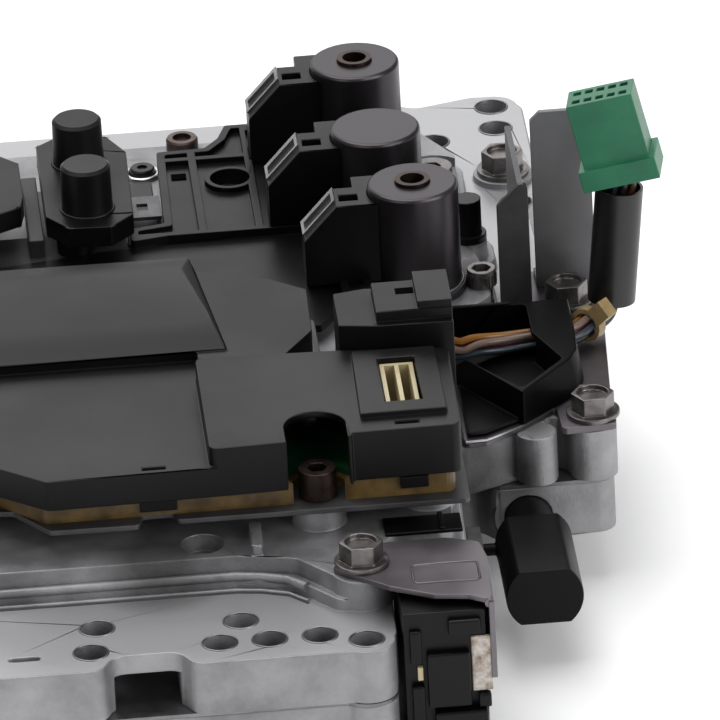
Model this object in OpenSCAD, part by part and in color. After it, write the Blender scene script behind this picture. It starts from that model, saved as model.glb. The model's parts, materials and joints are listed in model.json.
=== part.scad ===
// Transmission valve body: two castings and a cover with a plate between each pair,
// a control module on a heat plate, three shift solenoids, a harness, a range switch
// and the manual valve. X runs across the body, Y towards the rear and Z up.
// The origin is on the bottom face, in line with the middle of the solenoid row's front.

/* [Castings] */
// Crosswise pitch of the layout grid that outlines, holes and bosses follow
pitch_x = 100; // [97:1:104]
// Lengthwise pitch of the layout grid
pitch_y = 100; // [97:1:104]
// Height of the machined flange above the bottom face
flange_z = 45; // [44:0.5:52]
// Thickness of the upper casting's flange
upper_t = 15; // [13:0.5:16]
// Thickness of the lower casting
lower_t = 15; // [14.5:0.5:16]
// Thickness of each separator plate
plate_t = 1; // [0.6:0.1:1.4]
// Height of the raised deck above the flange
deck_h = 8.5; // [7:0.5:10]
// Radius of the flange bolt holes
hole_r = 4.2; // [3.4:0.1:4.6]
// Corner radius of the castings
cast_r = 5; // [2:0.5:7]

/* [Control module] */
// Height of the standing bosses above the deck
boss_h = 6; // [5:0.5:8]
// Thickness of the heat plate
heat_t = 1.5; // [1:0.1:2.5]
// Height of the module's base
base_h = 6; // [5:0.5:8]
// Height of the cover above the base
cover_h = 14; // [12:0.5:18]
// Wall of the cover and the base
cover_wall = 2; // [1.5:0.1:2.6]
// Thickness of the circuit board
board_t = 1.6; // [1:0.1:2]

/* [Solenoids] */
// Radius of a solenoid can
can_r = 12.15; // [11.5:0.05:12.6]
// Height of a solenoid can
can_h = 29; // [26:0.5:32]
// Wall of the can
can_wall = 1.4; // [1:0.1:1.8]
// Outer radius of the copper bush
bush_r = 4.65; // [4.2:0.05:5]
// Bore radius of the copper bush
bush_bore_r = 3.25; // [2.8:0.05:3.5]
// Radius of the plunger
plunger_r = 4.5; // [4:0.1:5]
// Stroke of the plunger
plunger_stroke = 1.5; // [1:0.1:2]

/* [Valves] */
// Radius of the manual valve's lands
manual_r = 6.3; // [5.8:0.1:6.5]
// Travel of the manual valve outwards from the rest position
manual_out = 8; // [4:1:10]
// Travel of the manual valve inwards from the rest position
manual_in = 12; // [6:1:13]
// Radius of the manual valve's head
head_r = 10.2; // [9.5:0.1:10.6]
// Length of the manual valve's head
head_l = 33; // [28:1:36]
// Radius of a spool's lands
spool_r = 4.5; // [4:0.1:4.8]
// Length of a spool
spool_l = 48; // [44:1:50]
// Free run of a spool against its spring
spool_stroke = 5; // [3:0.5:6]
// Radial running clearance of every valve in its bore
run_gap = 0.05; // [0.02:0.01:0.09]

/* [Caps and frame] */
// Radius of a round cap
cap_r = 6.9; // [6:0.1:7.2]
// Height of a round cap
cap_h = 13.2; // [12:0.2:17]
// Height of the cap housing's body
housing_h = 6; // [5:0.5:8]
// Thickness of the lead frame's plate
frame_t = 3; // [2.4:0.2:4]
// Height of the lead frame's ribs above its panels
rib_h = 1.6; // [1:0.1:2]

/* [Sheet parts] */
// Thickness of the support plate
support_t = 2; // [1.5:0.1:2.5]
// Thickness of the shield plate
shield_t = 1.6; // [1.2:0.1:2]
// Height of the shield plate
shield_h = 52; // [46:1:56]
// Thickness of the switch bracket
bracket_t = 1.5; // [1.2:0.1:1.8]
// Thickness of the baffle
baffle_t = 1.6; // [1.2:0.1:2]
// Height of the baffle
baffle_h = 30; // [26:1:33]

/* [Harness] */
// Radius of the sleeve
sleeve_r = 6.4; // [6:0.1:7]
// Wall of the sleeve
sleeve_wall = 0.7; // [0.5:0.1:1]
// Radius of one wire
wire_r = 1; // [0.8:0.05:1.1]
// Width of the connector
plug_w = 18; // [16:0.5:20]
// Depth of the connector
plug_d = 10; // [9:0.5:11]
// Height of the connector
plug_h = 25; // [22:0.5:28]

/* [Fasteners] */
// Size across the flats of the hexagon heads
hex_af = 10; // [8:0.5:11]
// Height of the hexagon heads
hex_h = 6.5; // [5:0.5:8]
// Radius of the heads' flanges
flange_r = 7.1; // [6.5:0.1:7.5]
// Thickness of the heads' flanges
flange_t = 1.4; // [1:0.1:2]
// Radius of the bolt shanks
shank_r = 3; // [2.5:0.1:3.4]

/* [Hidden] */
$fn = 48;

// Layout of a place on the grid, from its shares of the two pitches
function at(s) = [s[0] * pitch_x, s[1] * pitch_y];
function plan(shares) = [for (s = shares) at(s)];
function unit(v) = v / norm(v);

// Points of one rounded corner at b, between its neighbours a and c
corner_steps = 4;
function corner(a, b, c, r) =
    let (u = unit(a - b), w = unit(c - b), half = acos(u * w) / 2,
         cut = min(r / tan(half), norm(a - b) / 2, norm(c - b) / 2),
         fit_r = cut * tan(half),
         centre = b + unit(u + w) * fit_r / sin(half),
         start = b + u * cut - centre, stop = b + w * cut - centre,
         from = atan2(start[1], start[0]), to = atan2(stop[1], stop[0]),
         turn = (to - from + 540) % 360 - 180)
    [for (i = [0 : corner_steps]) let (a = from + turn * i / corner_steps)
        centre + fit_r * [cos(a), sin(a)]];
function rounded(p, r) =
    let (n = len(p))
    [for (i = [0 : n - 1]) each corner(p[(i + n - 1) % n], p[i], p[(i + 1) % n], r)];

// A flat piece with rounded corners, from z up to z + h
module slab(points, z, h, r) {
    translate([0, 0, z]) linear_extrude(h) polygon(rounded(points, r));
}
// A flat piece with sharp corners
module sheet(points, z, h) {
    translate([0, 0, z]) linear_extrude(h) polygon(points);
}
// A round peg standing on z
module peg(p, z, h, r) {
    translate([p[0], p[1], z]) cylinder(h = h, r = r);
}
// A box from its two corners
module block(a, b) {
    translate(a) cube(b - a);
}

// Heights of the stack
over = 1;
seat_gap = 0.3;
upper_z = flange_z - upper_t;
separator_z = upper_z - plate_t;
lower_z = separator_z - lower_t;
lower_plate_z = lower_z - plate_t;
deck_z = flange_z + deck_h;
seat_depth = 0.5;
support_z = flange_z - seat_depth;
support_top = support_z + support_t;
deck_step = 3.5;
deck_ledge = 2;

// Plans of the castings, in shares of the two pitches
upper_shares = [
    [-1.40, -1.52], [-1.28, -1.675], [-0.79, -1.675], [-0.77, -1.60], [-0.595, -1.60],
    [-0.56, -1.675], [-0.11, -1.675], [-0.035, -1.60], [-0.03, -1.30], [0.00, -1.24],
    [0.185, -1.22], [0.20, -0.60], [0.24, -0.55], [0.37, -0.49], [0.50, -0.40],
    [0.52, -0.53], [0.64, -0.52], [0.635, 0.30], [0.54, 0.45], [0.53, 0.85],
    [0.575, 0.95], [0.575, 1.50], [0.54, 1.585], [0.44, 1.595], [0.28, 1.55],
    [0.16, 1.615], [-0.02, 1.615], [-0.12, 1.535], [-1.34, 1.535], [-1.40, 1.46]
];
deck_shares = [
    [-1.37, -1.27], [-0.42, -1.275], [-0.28, -1.31], [-0.17, -1.45], [-0.06, -1.46],
    [-0.045, -1.28], [0.00, -1.225], [0.17, -1.205], [0.19, -0.60], [0.20, 0.02],
    [0.32, 0.08], [0.39, 0.15], [0.39, 0.31], [0.37, 0.44], [0.41, 0.48], [0.41, 0.57],
    [0.36, 0.70], [0.37, 1.06], [0.26, 1.27], [-0.95, 1.27], [-1.37, 1.20]
];
lower_shares = [
    [-1.39, -1.50], [-1.27, -1.66], [-0.11, -1.66], [-0.05, -1.60], [-0.05, -0.455],
    [0.27, -0.455], [0.305, -0.515], [0.63, -0.51], [0.625, 0.40], [0.53, 0.50], [0.56, 1.48],
    [0.50, 1.535], [-1.33, 1.535], [-1.39, 1.45]
];
cover_shares = [
    [-1.37, -1.48], [-1.26, -1.64], [-0.12, -1.64], [-0.05, -1.58], [-0.05, -0.40],
    [0.16, -0.25], [0.16, 1.40], [0.08, 1.515], [-1.31, 1.515], [-1.37, 1.43]
];
front_hole_shares = [
    [-0.795, -1.438], [-0.819, -1.569], [-0.426, -1.456], [-0.488, -1.569],
    [-0.360, -1.569], [-0.231, -1.569], [-0.114, -1.611]
];
rear_hole_shares = [[0.489, 1.519], [0.489, 1.379], [0.501, 0.899], [0.31, 1.32]];
lobe_shares = [[-0.114, -1.611], [0.489, 1.519]];
lobe_r = 7.4;
round_boss = at([0.425, -0.50]);
round_boss_r = 5.4;

// Places of the fasteners and what they pass through
bolt_rear = at([0.48, 1.057]);
bolt_side = at([0.577, 0.226]);
bolt_corner = at([0.581, -0.456]);
bolt_bracket = at([-0.104, -1.38]);
bolt_socket = at([0.351, 0.23]);
bolt_deck = at([0.28, 0.97]);
standoff_at = at([0.34, 0.52]);
module_screw_shares = [[-0.19, -1.09], [-1.15, -0.72], [-1.18, -0.10]];
boss_shares = concat(module_screw_shares, [[0.05, -0.56], [0.10, -1.02], [-0.45, -0.20]]);
boss_r = 7;

// Manual valve and its bore
manual_share = 0.394;
manual_x = manual_share * pitch_x;
manual_z = lower_z + manual_r;
manual_face_share = -0.51;
manual_face_y = manual_face_share * pitch_y;
manual_bore_l = 120;
manual_wall = 2.8;
manual_boss_r = manual_r + manual_wall;
pin_r = 1.65;
pin_reach = 7;
head_clear = 2;
head_gap = manual_in + head_clear;
head_y = manual_face_y - head_gap;
flat_half = 7.8;

// Spool bores, from the rear face inwards
spool_x_shares = [-0.95, -0.70, -0.45];
spool_z = lower_z + lower_t / 2;
rear_share = 1.535;
rear_y = rear_share * pitch_y;
plug_depth = 2.5;
bore_plug_l = 6;
spool_spring_pressed = 9;
spool_spring_l = spool_spring_pressed + spool_stroke;
spool_bore_r = spool_r + run_gap;
spool_bore_l = plug_depth + bore_plug_l + spool_spring_l + spool_l + seat_gap;
key_t = 1.2;
key_w = 6;
key_y = rear_y - plug_depth;

// Front window in the flange, with the slot beside it
window_half = 8.5;
window_share = -0.68;
window_x = window_share * pitch_x;
notch_share = -1.60;
front_share = -1.70;
window_depth = 20;
window_h = 9.5;
slot_l = 8;
slot_w = 2;
slot_at = at([-0.99, -1.575]);

module casting_color() {
    color([0.62, 0.62, 0.63]) children();
}
module steel_color() {
    color([0.45, 0.45, 0.46]) children();
}
module black_color() {
    color([0.13, 0.13, 0.14]) children();
}

module upper_body() {
    casting_color() difference() {
        union() {
            slab(plan(upper_shares), upper_z, upper_t, cast_r);
            for (s = lobe_shares) peg(at(s), upper_z, upper_t, lobe_r);
            peg(round_boss, upper_z + plate_t, upper_t - plate_t, round_boss_r);
            slab(plan(deck_shares), flange_z - over, deck_step + over, cast_r);
            deck_top();
            for (s = boss_shares) peg(at(s), deck_z - over, boss_h + over, boss_r);
            peg(bolt_bracket, flange_z, deck_h, flange_r + over);
            peg(bolt_rear, flange_z - over, support_t + over, flange_r + over);
            slab(plan(web_shares), deck_z - over, web_h + over, web_round);
        }
        for (s = concat(front_hole_shares, rear_hole_shares))
            peg(at(s), upper_z - over, upper_t + 2 * over, hole_r);
        for (s = module_screw_shares) peg(at(s), deck_z - deck_h, deck_h + boss_h + over, shank_r);
        for (p = [bolt_rear, bolt_side, bolt_corner, bolt_bracket, bolt_socket, bolt_deck, standoff_at])
            peg(p, flange_z - deck_h, 2 * deck_h + over, shank_r);
        torx_pocket();
        flange_slot();
        slab(inset(plan(support_shares), -seat_gap), support_z, seat_depth + over, support_r);
        for (s = solenoid_shares) peg(at(s), deck_z - spigot_h, spigot_h + over, spigot_r + seat_gap / 3);
        front_window();
        peg(at(pit_share), deck_z - pit_depth, pit_depth + over, pit_r);
    }
}
// The deck's upper level is set in by a ledge
module deck_top() {
    translate([0, 0, flange_z + deck_step - over]) linear_extrude(deck_h - deck_step + over)
        polygon(rounded(inset(plan(deck_shares), deck_ledge), cast_r));
}
// Outline moved inwards by d along the bisector of each corner, for an outline that runs anticlockwise
function inset(p, d) =
    let (n = len(p))
    [for (i = [0 : n - 1])
        let (u = unit(p[i] - p[(i + n - 1) % n]), w = unit(p[(i + 1) % n] - p[i]),
             nu = [-u[1], u[0]], nw = [-w[1], w[0]], m = nu + nw)
        p[i] + m * (2 * d / (m * m))];
// Cast web on the deck in front of the module
web_shares = [[-0.378, -1.265], [-0.348, -1.265], [-0.346, -1.12], [-0.376, -1.12]];
web_h = 3;
web_round = 1;
torx_pocket_r = 9;
torx_pocket_depth = 3;
module torx_pocket() {
    peg(bolt_deck, deck_z - torx_pocket_depth, torx_pocket_depth + over, torx_pocket_r);
}
pit_share = [-0.50, -1.17];
pit_r = 5.5;
pit_depth = 5;
// The dark opening in the front notch
module front_window() {
    block([window_x - window_half, front_share * pitch_y, upper_z - over],
          [window_x + window_half, notch_share * pitch_y + window_depth, upper_z + window_h]);
}
module flange_slot() {
    slab([slot_at + [-slot_l / 2, -slot_w / 2], slot_at + [slot_l / 2, -slot_w / 2],
          slot_at + [slot_l / 2, slot_w / 2], slot_at + [-slot_l / 2, slot_w / 2]],
         flange_z - upper_t / 2, upper_t, slot_w / 2);
}

module separator_plate() {
    steel_color() difference() {
        lobed_slab(lower_shares, separator_z, plate_t);
        for (s = front_hole_shares) peg(at(s), separator_z - over, plate_t + 2 * over, hole_r);
    }
}

// A layer of the stack, with the round lobe of its front corner hole
module lobed_slab(shares, z, h) {
    slab(plan(shares), z, h, cast_r);
    peg(at(lobe_shares[0]), z, h, lobe_r);
}
module lower_body() {
    casting_color() difference() {
        union() {
            lobed_slab(lower_shares, lower_z, lower_t);
            translate([manual_x, manual_face_y, manual_z]) rotate([-90, 0, 0])
                cylinder(h = manual_bore_l, r = manual_boss_r);
        }
        block([manual_x - manual_boss_r, manual_face_y - over, separator_z],
              [manual_x + manual_boss_r, manual_face_y + manual_bore_l + over, flange_z]);
        translate([manual_x, manual_face_y - over, manual_z]) rotate([-90, 0, 0])
            cylinder(h = manual_bore_l + 2 * over, r = manual_r + run_gap);
        for (s = spool_x_shares) spool_bore(s * pitch_x);
        for (s = front_hole_shares) peg(at(s), lower_z - over, lower_t + 2 * over, hole_r);
        block([window_x - window_half, front_share * pitch_y, lower_z - over],
              [window_x + window_half, notch_share * pitch_y + window_depth, separator_z - plate_t]);
    }
}
// Bore of one spool, with the slot of its key across it
module spool_bore(x) {
    translate([x, rear_y + over, spool_z]) rotate([90, 0, 0])
        cylinder(h = spool_bore_l + over, r = spool_bore_r);
    block([x - key_w / 2, key_y, spool_z], [x + key_w / 2, key_y + key_t, separator_z + over]);
}

module lower_plate() {
    steel_color() difference() {
        lobed_slab(cover_shares, lower_plate_z, plate_t);
        for (s = front_hole_shares) peg(at(s), lower_plate_z - over, plate_t + 2 * over, hole_r);
    }
}

cover_pocket = 2;
cover_rib = 3;
pocket_cell_shares = [0.36, 0.62];
pocket_corner_shares = [-1.12, -1.25];
module bottom_cover() {
    casting_color() difference() {
        lobed_slab(cover_shares, 0, lower_plate_z);
        for (s = front_hole_shares) peg(at(s), -over, lower_plate_z + 2 * over, hole_r);
        for (i = [0 : 2], j = [0 : 3])
            cover_hollow(at([for (k = [0, 1]) pocket_corner_shares[k] + pocket_cell_shares[k] * [i, j][k]]));
    }
}

// One shallow pocket between the cover's ribs
module cover_hollow(p) {
    cell = at(pocket_cell_shares);
    block([p[0], p[1], -over], [p[0] + cell[0] - cover_rib, p[1] + cell[1] - cover_rib, cover_pocket]);
}

support_shares = [
    [0.23, -0.565], [0.29, -0.56], [0.384, -0.494], [0.49, -0.395], [0.489, -0.44], [0.492, -0.53],
    [0.638, -0.52], [0.634, -0.42], [0.661, 0.04], [0.665, 0.43], [0.48, 0.43], [0.475, 0.26],
    [0.40, 0.26], [0.40, 0.06], [0.235, 0.025]
];
support_r = 1.5;
module support_plate() {
    steel_color() difference() {
        slab(plan(support_shares), support_z, support_t, support_r);
        for (p = [bolt_side, bolt_corner]) peg(p, support_z - over, support_t + 2 * over, shank_r);
    }
}

// Control module
heat_z = deck_z + boss_h;
base_z = heat_z + heat_t;
cover_z = base_z + base_h;
top_z = cover_z + cover_h;
slab_drop = 5.5;
pad_drop = 3;
module_r = 2.5;
left_z = top_z - slab_drop;
heat_shares = [
    [-1.28, -1.02], [-1.05, -1.045], [-0.98, -1.055], [-0.891, -1.18], [-0.66, -1.185], [-0.65, -1.13],
    [-0.57, -1.13], [-0.56, -1.17], [0.197, -1.175], [0.20, -0.44], [-0.12, -0.40], [-0.12, -0.06],
    [-1.28, -0.02]
];
base_shares = [
    [-1.26, -0.90], [-1.08, -0.95], [-0.90, -1.14], [0.165, -1.13], [0.18, -0.70], [-0.14, -0.67],
    [-0.14, -0.10], [-1.26, -0.04]
];
cover_left_shares = [
    [-1.27, -0.87], [-1.038, -1.068], [-0.893, -1.19], [-0.41, -1.18], [-0.41, -0.66], [-0.27, -0.66],
    [-0.27, -0.12], [-1.27, -0.03]
];
cover_right_shares = [
    [-0.47, -1.182], [-0.286, -1.175], [-0.10, -1.165], [-0.10, -1.15], [0.17, -1.145], [0.185, -1.13],
    [0.19, -0.69], [-0.10, -0.66], [-0.47, -0.64]
];
roof_shares = [[-1.27, -0.55], [-0.38, -0.55], [-0.44, 0.02], [-1.27, 0.03]];
pad_shares = [
    [-0.46, -0.62], [-0.23, -0.60], [-0.15, -0.47], [-0.145, -0.22], [-0.25, -0.13], [-0.46, -0.05]
];
screw_recess_r = 8;
module heat_plate() {
    color([0.35, 0.35, 0.36]) difference() {
        slab(plan(heat_shares), heat_z, heat_t, heat_t);
        for (s = module_screw_shares) peg(at(s), heat_z - over, heat_t + 2 * over, shank_r);
    }
}
module module_base() {
    color([0.48, 0.36, 0.17]) difference() {
        slab(plan(base_shares), base_z, base_h, module_r);
        slab(inset(plan(base_shares), cover_wall), base_z + cover_wall, base_h, module_r);
        for (s = module_screw_shares) peg(at(s), base_z - over, base_h + 2 * over, screw_recess_r);
    }
}
module circuit_board() {
    color([0.1, 0.35, 0.2]) difference() {
        slab(inset(plan(base_shares), cover_wall + seat_gap), base_z + cover_wall, board_t, module_r);
        for (s = module_screw_shares)
            peg(at(s), base_z, base_h, screw_recess_r + cover_wall);
    }
}
roof_edge = 2.8;
roof_bevel = 12;
module roof_profile() {
    r = plan(roof_shares);
    hull() {
        sheet(r, left_z, roof_edge);
        sheet([r[0] + [0, roof_bevel], r[1] + [-roof_edge, roof_bevel],
               r[2] + [-roof_edge, -roof_bevel], r[3] + [0, -roof_bevel]], left_z, slab_drop);
    }
}
window_shares = [[-0.07, -1.073], [0.155, -1.072], [0.153, -0.705], [-0.064, -0.702]];
opening_shares = [[0.0, -1.01], [0.098, -1.01], [0.094, -0.76], [0.0, -0.76]];
window_rim = 1.5;
module module_cover() {
    black_color() difference() {
        union() {
            slab(plan(cover_left_shares), cover_z, cover_h - slab_drop, module_r);
            slab(plan(cover_right_shares), cover_z, cover_h, module_r);
            sheet(plan(pad_shares), cover_z, cover_h - pad_drop);
            roof_profile();
            sheet(plan(window_shares), top_z - over, window_rim + over);
        }
        slab(inset(plan(cover_left_shares), cover_wall), cover_z - over,
             cover_h - slab_drop - cover_wall + over, module_r);
        slab(inset(plan(cover_right_shares), cover_wall), cover_z - over,
             cover_h - cover_wall + over, module_r);
        sheet(plan(opening_shares), cover_z, cover_h + 2 * window_rim);
        for (s = module_screw_shares) peg(at(s), cover_z - over, cover_h + 2 * over, screw_recess_r);
        screw_mouth(at(module_screw_shares[0]));
        vent_slot(at(left_slot_share), left_z);
        vent_slot(at(right_slot_share), top_z);
    }
}
// A shallow slot in a top face
slot_long = 6;
slot_wide = 1.4;
slot_depth = 1.2;
left_slot_share = [-0.614, -1.155];
right_slot_share = [0.048, -1.109];
module vent_slot(p, z) {
    block([p[0] - slot_long / 2, p[1] - slot_wide / 2, z - slot_depth],
          [p[0] + slot_long / 2, p[1] + slot_wide / 2, z + over]);
}
// Opens a screw's recess to the front
module screw_mouth(p) {
    block([p[0] - screw_recess_r, p[1] - 2 * screw_recess_r, cover_z - over],
          [p[0] + screw_recess_r, p[1], top_z + over]);
}
block_wall = 1.2;
module terminal_block() {
    p = plan(opening_shares);
    lo = p[0] + [seat_gap, seat_gap];
    hi = p[2] - [seat_gap, seat_gap];
    color([0.8, 0.76, 0.66]) difference() {
        block([lo[0], lo[1], base_z + cover_wall + board_t], [hi[0], hi[1], top_z]);
        for (side = [0, 1]) {
            cell = (hi[0] - lo[0] - 3 * block_wall) / 2;
            block([lo[0] + block_wall + side * (cell + block_wall), lo[1] + block_wall, cover_z],
                  [lo[0] + (1 + side) * (cell + block_wall), hi[1] - block_wall, top_z + over]);
        }
    }
}
box_shares = [[-0.09, -0.64], [0.01, -0.66], [0.21, -0.665], [0.21, -0.45], [0.0, -0.43], [-0.09, -0.45]];
box_step = 3;
module harness_box() {
    p = plan(box_shares);
    black_color() difference() {
        union() {
            sheet(p, base_z, top_z + 2 * box_step - base_z);
            block([p[1][0], p[0][1], top_z], [p[2][0], p[4][1] - box_step, top_z + 3 * box_step]);
            block([p[2][0] - 3 * box_step, p[2][1] + box_step, top_z],
                  [p[2][0], p[3][1], top_z + 3 * box_step + cover_wall]);
        }
        block([p[2][0] - 4 * box_step, p[2][1] + cover_wall + box_step, base_z + base_h],
              [p[2][0] + over, p[3][1] - cover_wall, top_z]);
    }
}

// Lead frame: a plate with raised ribs round sunk panels, and a ring for a probe
frame_lift = 3;
frame_z = deck_z + frame_lift;
frame_shares = [
    [-0.57, 0.50], [-0.47, 0.52], [-0.05, 0.52], [-0.03, 0.05], [0.05, 0.12], [0.05, 1.19],
    [-0.27, 1.19], [-0.295, 1.11], [-0.335, 1.055], [-0.466, 1.05], [-0.475, 0.60], [-0.57, 0.58]
];
shelf_shares = [[-1.20, -0.01], [-0.10, -0.05], [-0.04, 0.05], [-0.04, 0.53], [-0.60, 0.51], [-1.20, 0.40]];
rib_x_shares = [-0.373, -0.22, -0.09];
rib_y_shares = [0.53, 0.995];
rib_t = 2.2;
ring_at = at([-0.278, 0.857]);
ring_r = 5.4;
ring_wall = 1.5;
// The rim that follows the frame's outline
module frame_rim() {
    difference() {
        slab(plan(frame_shares), frame_z, frame_t + rib_h, over);
        slab(inset(plan(frame_shares), rib_t), frame_z - over, 2 * frame_t + rib_h, over);
    }
}
module lead_frame() {
    black_color() difference() {
        union() {
            slab(plan(frame_shares), frame_z, frame_t, over);
            frame_rim();
            sheet(plan(shelf_shares), frame_z, frame_t - rib_h / 2);
            intersection() {
                slab(plan(frame_shares), frame_z, frame_t + rib_h, over);
                for (s = rib_x_shares)
                    block([s * pitch_x - rib_t / 2, 0, frame_z],
                          [s * pitch_x + rib_t / 2, 2 * pitch_y, frame_z + 2 * frame_t]);
            }
            intersection() {
                slab(plan(frame_shares), frame_z, frame_t + rib_h, over);
                for (s = rib_y_shares)
                    block([-pitch_x, s * pitch_y - rib_t / 2, frame_z],
                          [pitch_x, s * pitch_y + rib_t / 2, frame_z + 2 * frame_t]);
            }
            peg(ring_at, frame_z, frame_t + rib_h, ring_r + ring_wall);
            for (s = frame_leg_shares) peg(at(s), deck_z, frame_z - deck_z + over, frame_leg_r);
        }
        peg(ring_at, frame_z - over, frame_t + rib_h + 2 * over, ring_r);
        for (s = solenoid_shares) {
            peg(at(s), frame_z - over, can_h, skirt_r + seat_gap);
            block([at(s)[0] + slope_x - seat_gap, at(s)[1] + nose_front - seat_gap, frame_z + frame_t],
                  [at(s)[0], at(s)[1] + heel_back + seat_gap, frame_z + can_h]);
        }
        for (s = concat(near_leg_shares, far_leg_shares))
            peg(at(s), frame_z - over, can_h, leg_r + seat_gap);
    }
}
frame_leg_shares = [[-0.42, 0.98], [-0.42, 0.60], [-1.10, 0.20], [-0.60, 0.20], [-0.12, 1.12], [-0.30, 0.20]];
frame_leg_r = 3;

tab_shares = [[-0.565, 0.70], [-0.475, 0.70], [-0.475, 0.83], [-0.565, 0.83]];
tab_t = 1;
module grounding_tab() {
    p = plan(tab_shares);
    c = (p[0] + p[2]) / 2;
    color([0.72, 0.72, 0.72]) difference() {
        union() {
            sheet(p, frame_z + over, tab_t);
            block([p[1][0] - tab_t - seat_gap, p[1][1], deck_z],
                  [p[1][0] - seat_gap, p[2][1], frame_z + over + tab_t]);
        }
        block([c[0] - 2 * tab_t, c[1] - 2 * tab_t, frame_z],
              [c[0] + tab_t, c[1] + 2 * tab_t, frame_z + frame_t]);
    }
}

// Cap housings
housing_lift = 20;
housing_z = flange_z + housing_lift;
near_housing_shares = [
    [-0.737, 0.403], [-0.626, 0.395], [-0.562, 0.464], [-0.556, 0.863], [-0.601, 0.963], [-0.738, 0.987],
    [-0.797, 0.936], [-0.797, 0.489]
];
far_housing_shares = [
    [-1.30, 0.42], [-1.02, 0.30], [-0.93, 0.38], [-0.93, 0.52], [-0.86, 0.56], [-0.85, 0.62], [-0.85, 0.84],
    [-0.92, 0.92], [-0.98, 0.95], [-1.30, 0.95]
];
cap_shares = [[-0.687, 0.814], [-0.682, 0.523], [-1.10, 0.80], [-1.10, 0.60]];
leg_r = 5;
near_leg_shares = [[-0.72, 0.53], [-0.66, 0.86]];
far_leg_shares = [[-1.08, 0.46], [-0.98, 0.86]];
module housing(shares, legs) {
    black_color() {
        slab(plan(shares), housing_z, housing_h, over);
        for (s = legs) peg(at(s), deck_z, housing_z - deck_z + over, leg_r);
    }
}
module cap_housing_near() {
    housing(near_housing_shares, near_leg_shares);
}
module cap_housing_far() {
    housing(far_housing_shares, far_leg_shares);
}
cap_round = 0.8;
cap_draft = 0.2;
module round_caps() {
    black_color() for (s = cap_shares)
        translate([at(s)[0], at(s)[1], housing_z + housing_h]) rotate_extrude()
            polygon([[0, 0], [cap_r, 0], [cap_r - cap_draft, cap_h - cap_round],
                     [cap_r - cap_draft - cap_round, cap_h], [0, cap_h]]);
}

// Solenoids, from the near one to the far one
solenoid_shares = [[0.178, 0.242], [0.108, 0.604], [0.087, 1.035]];
skirt_rim = 1.2;
skirt_r = can_r + skirt_rim;
skirt_h = 2.5;
spigot_r = 6;
spigot_h = 5;
can_z = deck_z + skirt_h;
can_round = 0.7;
module can(i, open) {
    p = at(solenoid_shares[i]);
    hole = open ? bush_r : 0;
    color([0.5, 0.5, 0.52]) translate([p[0], p[1], deck_z]) rotate_extrude()
        polygon([
            [plunger_r + run_gap, -spigot_h], [spigot_r, -spigot_h], [spigot_r, 0],
            [skirt_r, 0], [skirt_r, skirt_h], [can_r, skirt_h],
            [can_r, skirt_h + can_h - can_round], [can_r - can_round, skirt_h + can_h],
            [hole, skirt_h + can_h], [hole, skirt_h + can_h - can_wall],
            [can_r - can_wall, skirt_h + can_h - can_wall], [can_r - can_wall, skirt_h],
            [plunger_r + run_gap, skirt_h]
        ]);
}
module can_near() {
    can(0, true);
}
module can_mid() {
    can(1, false);
}
module can_far() {
    can(2, true);
}
bush_l = 8;
bush_proud = 0.9;
module solenoid_bushes() {
    color([0.62, 0.42, 0.33]) for (i = [0, 2]) {
        p = at(solenoid_shares[i]);
        translate([p[0], p[1], can_z + can_h + bush_proud - bush_l]) difference() {
            cylinder(h = bush_l, r = bush_r);
            translate([0, 0, -over]) cylinder(h = bush_l + 2 * over, r = bush_bore_r);
        }
    }
}
coil_z = skirt_h;
coil_h = can_h + bush_proud - bush_l - seat_gap;
module solenoid_coils() {
    color([0.6, 0.35, 0.15]) for (s = solenoid_shares)
        translate([at(s)[0], at(s)[1], deck_z + coil_z]) difference() {
            cylinder(h = coil_h, r = can_r - can_wall - run_gap);
            translate([0, 0, -over]) cylinder(h = coil_h + 2 * over, r = plunger_r + run_gap);
        }
}
plunger_l = 14;
tip_r = 2;
plunger_spring_pressed = 5;
plunger_spring_l = plunger_spring_pressed + plunger_stroke;
core_z = deck_z - spigot_h + over + plunger_l + plunger_spring_l;
// Fixed cores above the plungers: two end at a bush, and the middle one at the closed top
module pole_cores() {
    steel_color() for (i = [0 : 2])
        peg(at(solenoid_shares[i]), core_z,
            i == 1 ? can_z + can_h - can_wall - core_z : can_z + can_h + bush_proud - bush_l - core_z, plunger_r);
}
module plunger(i) {
    p = at(solenoid_shares[i]);
    steel_color() translate([p[0], p[1], deck_z - spigot_h + over]) {
        cylinder(h = plunger_l, r = plunger_r);
        translate([0, 0, -over]) cylinder(h = over, r = tip_r);
    }
}
module plunger_near() {
    plunger(0);
}
module plunger_mid() {
    plunger(1);
}
module plunger_far() {
    plunger(2);
}
// A coil spring as turns of round wire: a stack of rings joined by their pitch
spring_steps = 12;
plunger_turns = 4;
spool_turns = 5;
module spring(r, wire, l, turns) {
    n = turns * spring_steps;
    ring = 5;
    pts = [for (i = [0 : n], k = [0 : ring - 1])
        let (a = 360 * i / spring_steps, b = 360 * k / ring, rr = r + wire * cos(b))
        [rr * cos(a), rr * sin(a), wire + (l - 2 * wire) * i / n + wire * sin(b)]];
    sides = [for (i = [0 : n - 1], k = [0 : ring - 1])
        let (a = i * ring + k, b = i * ring + (k + 1) % ring)
        [a, a + ring, b + ring, b]];
    polyhedron(pts, concat(sides,
        [[for (k = [0 : ring - 1]) k]],
        [[for (k = [ring - 1 : -1 : 0]) n * ring + k]]));
}
spring_wire = 0.4;
module plunger_spring(i) {
    p = at(solenoid_shares[i]);
    color([0.7, 0.7, 0.7]) translate([p[0], p[1], deck_z - spigot_h + over + plunger_l])
        spring(plunger_r - 2 * spring_wire, spring_wire, plunger_spring_l, plunger_turns);
}
module plunger_spring_near() {
    plunger_spring(0);
}
module plunger_spring_mid() {
    plunger_spring(1);
}
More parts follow.
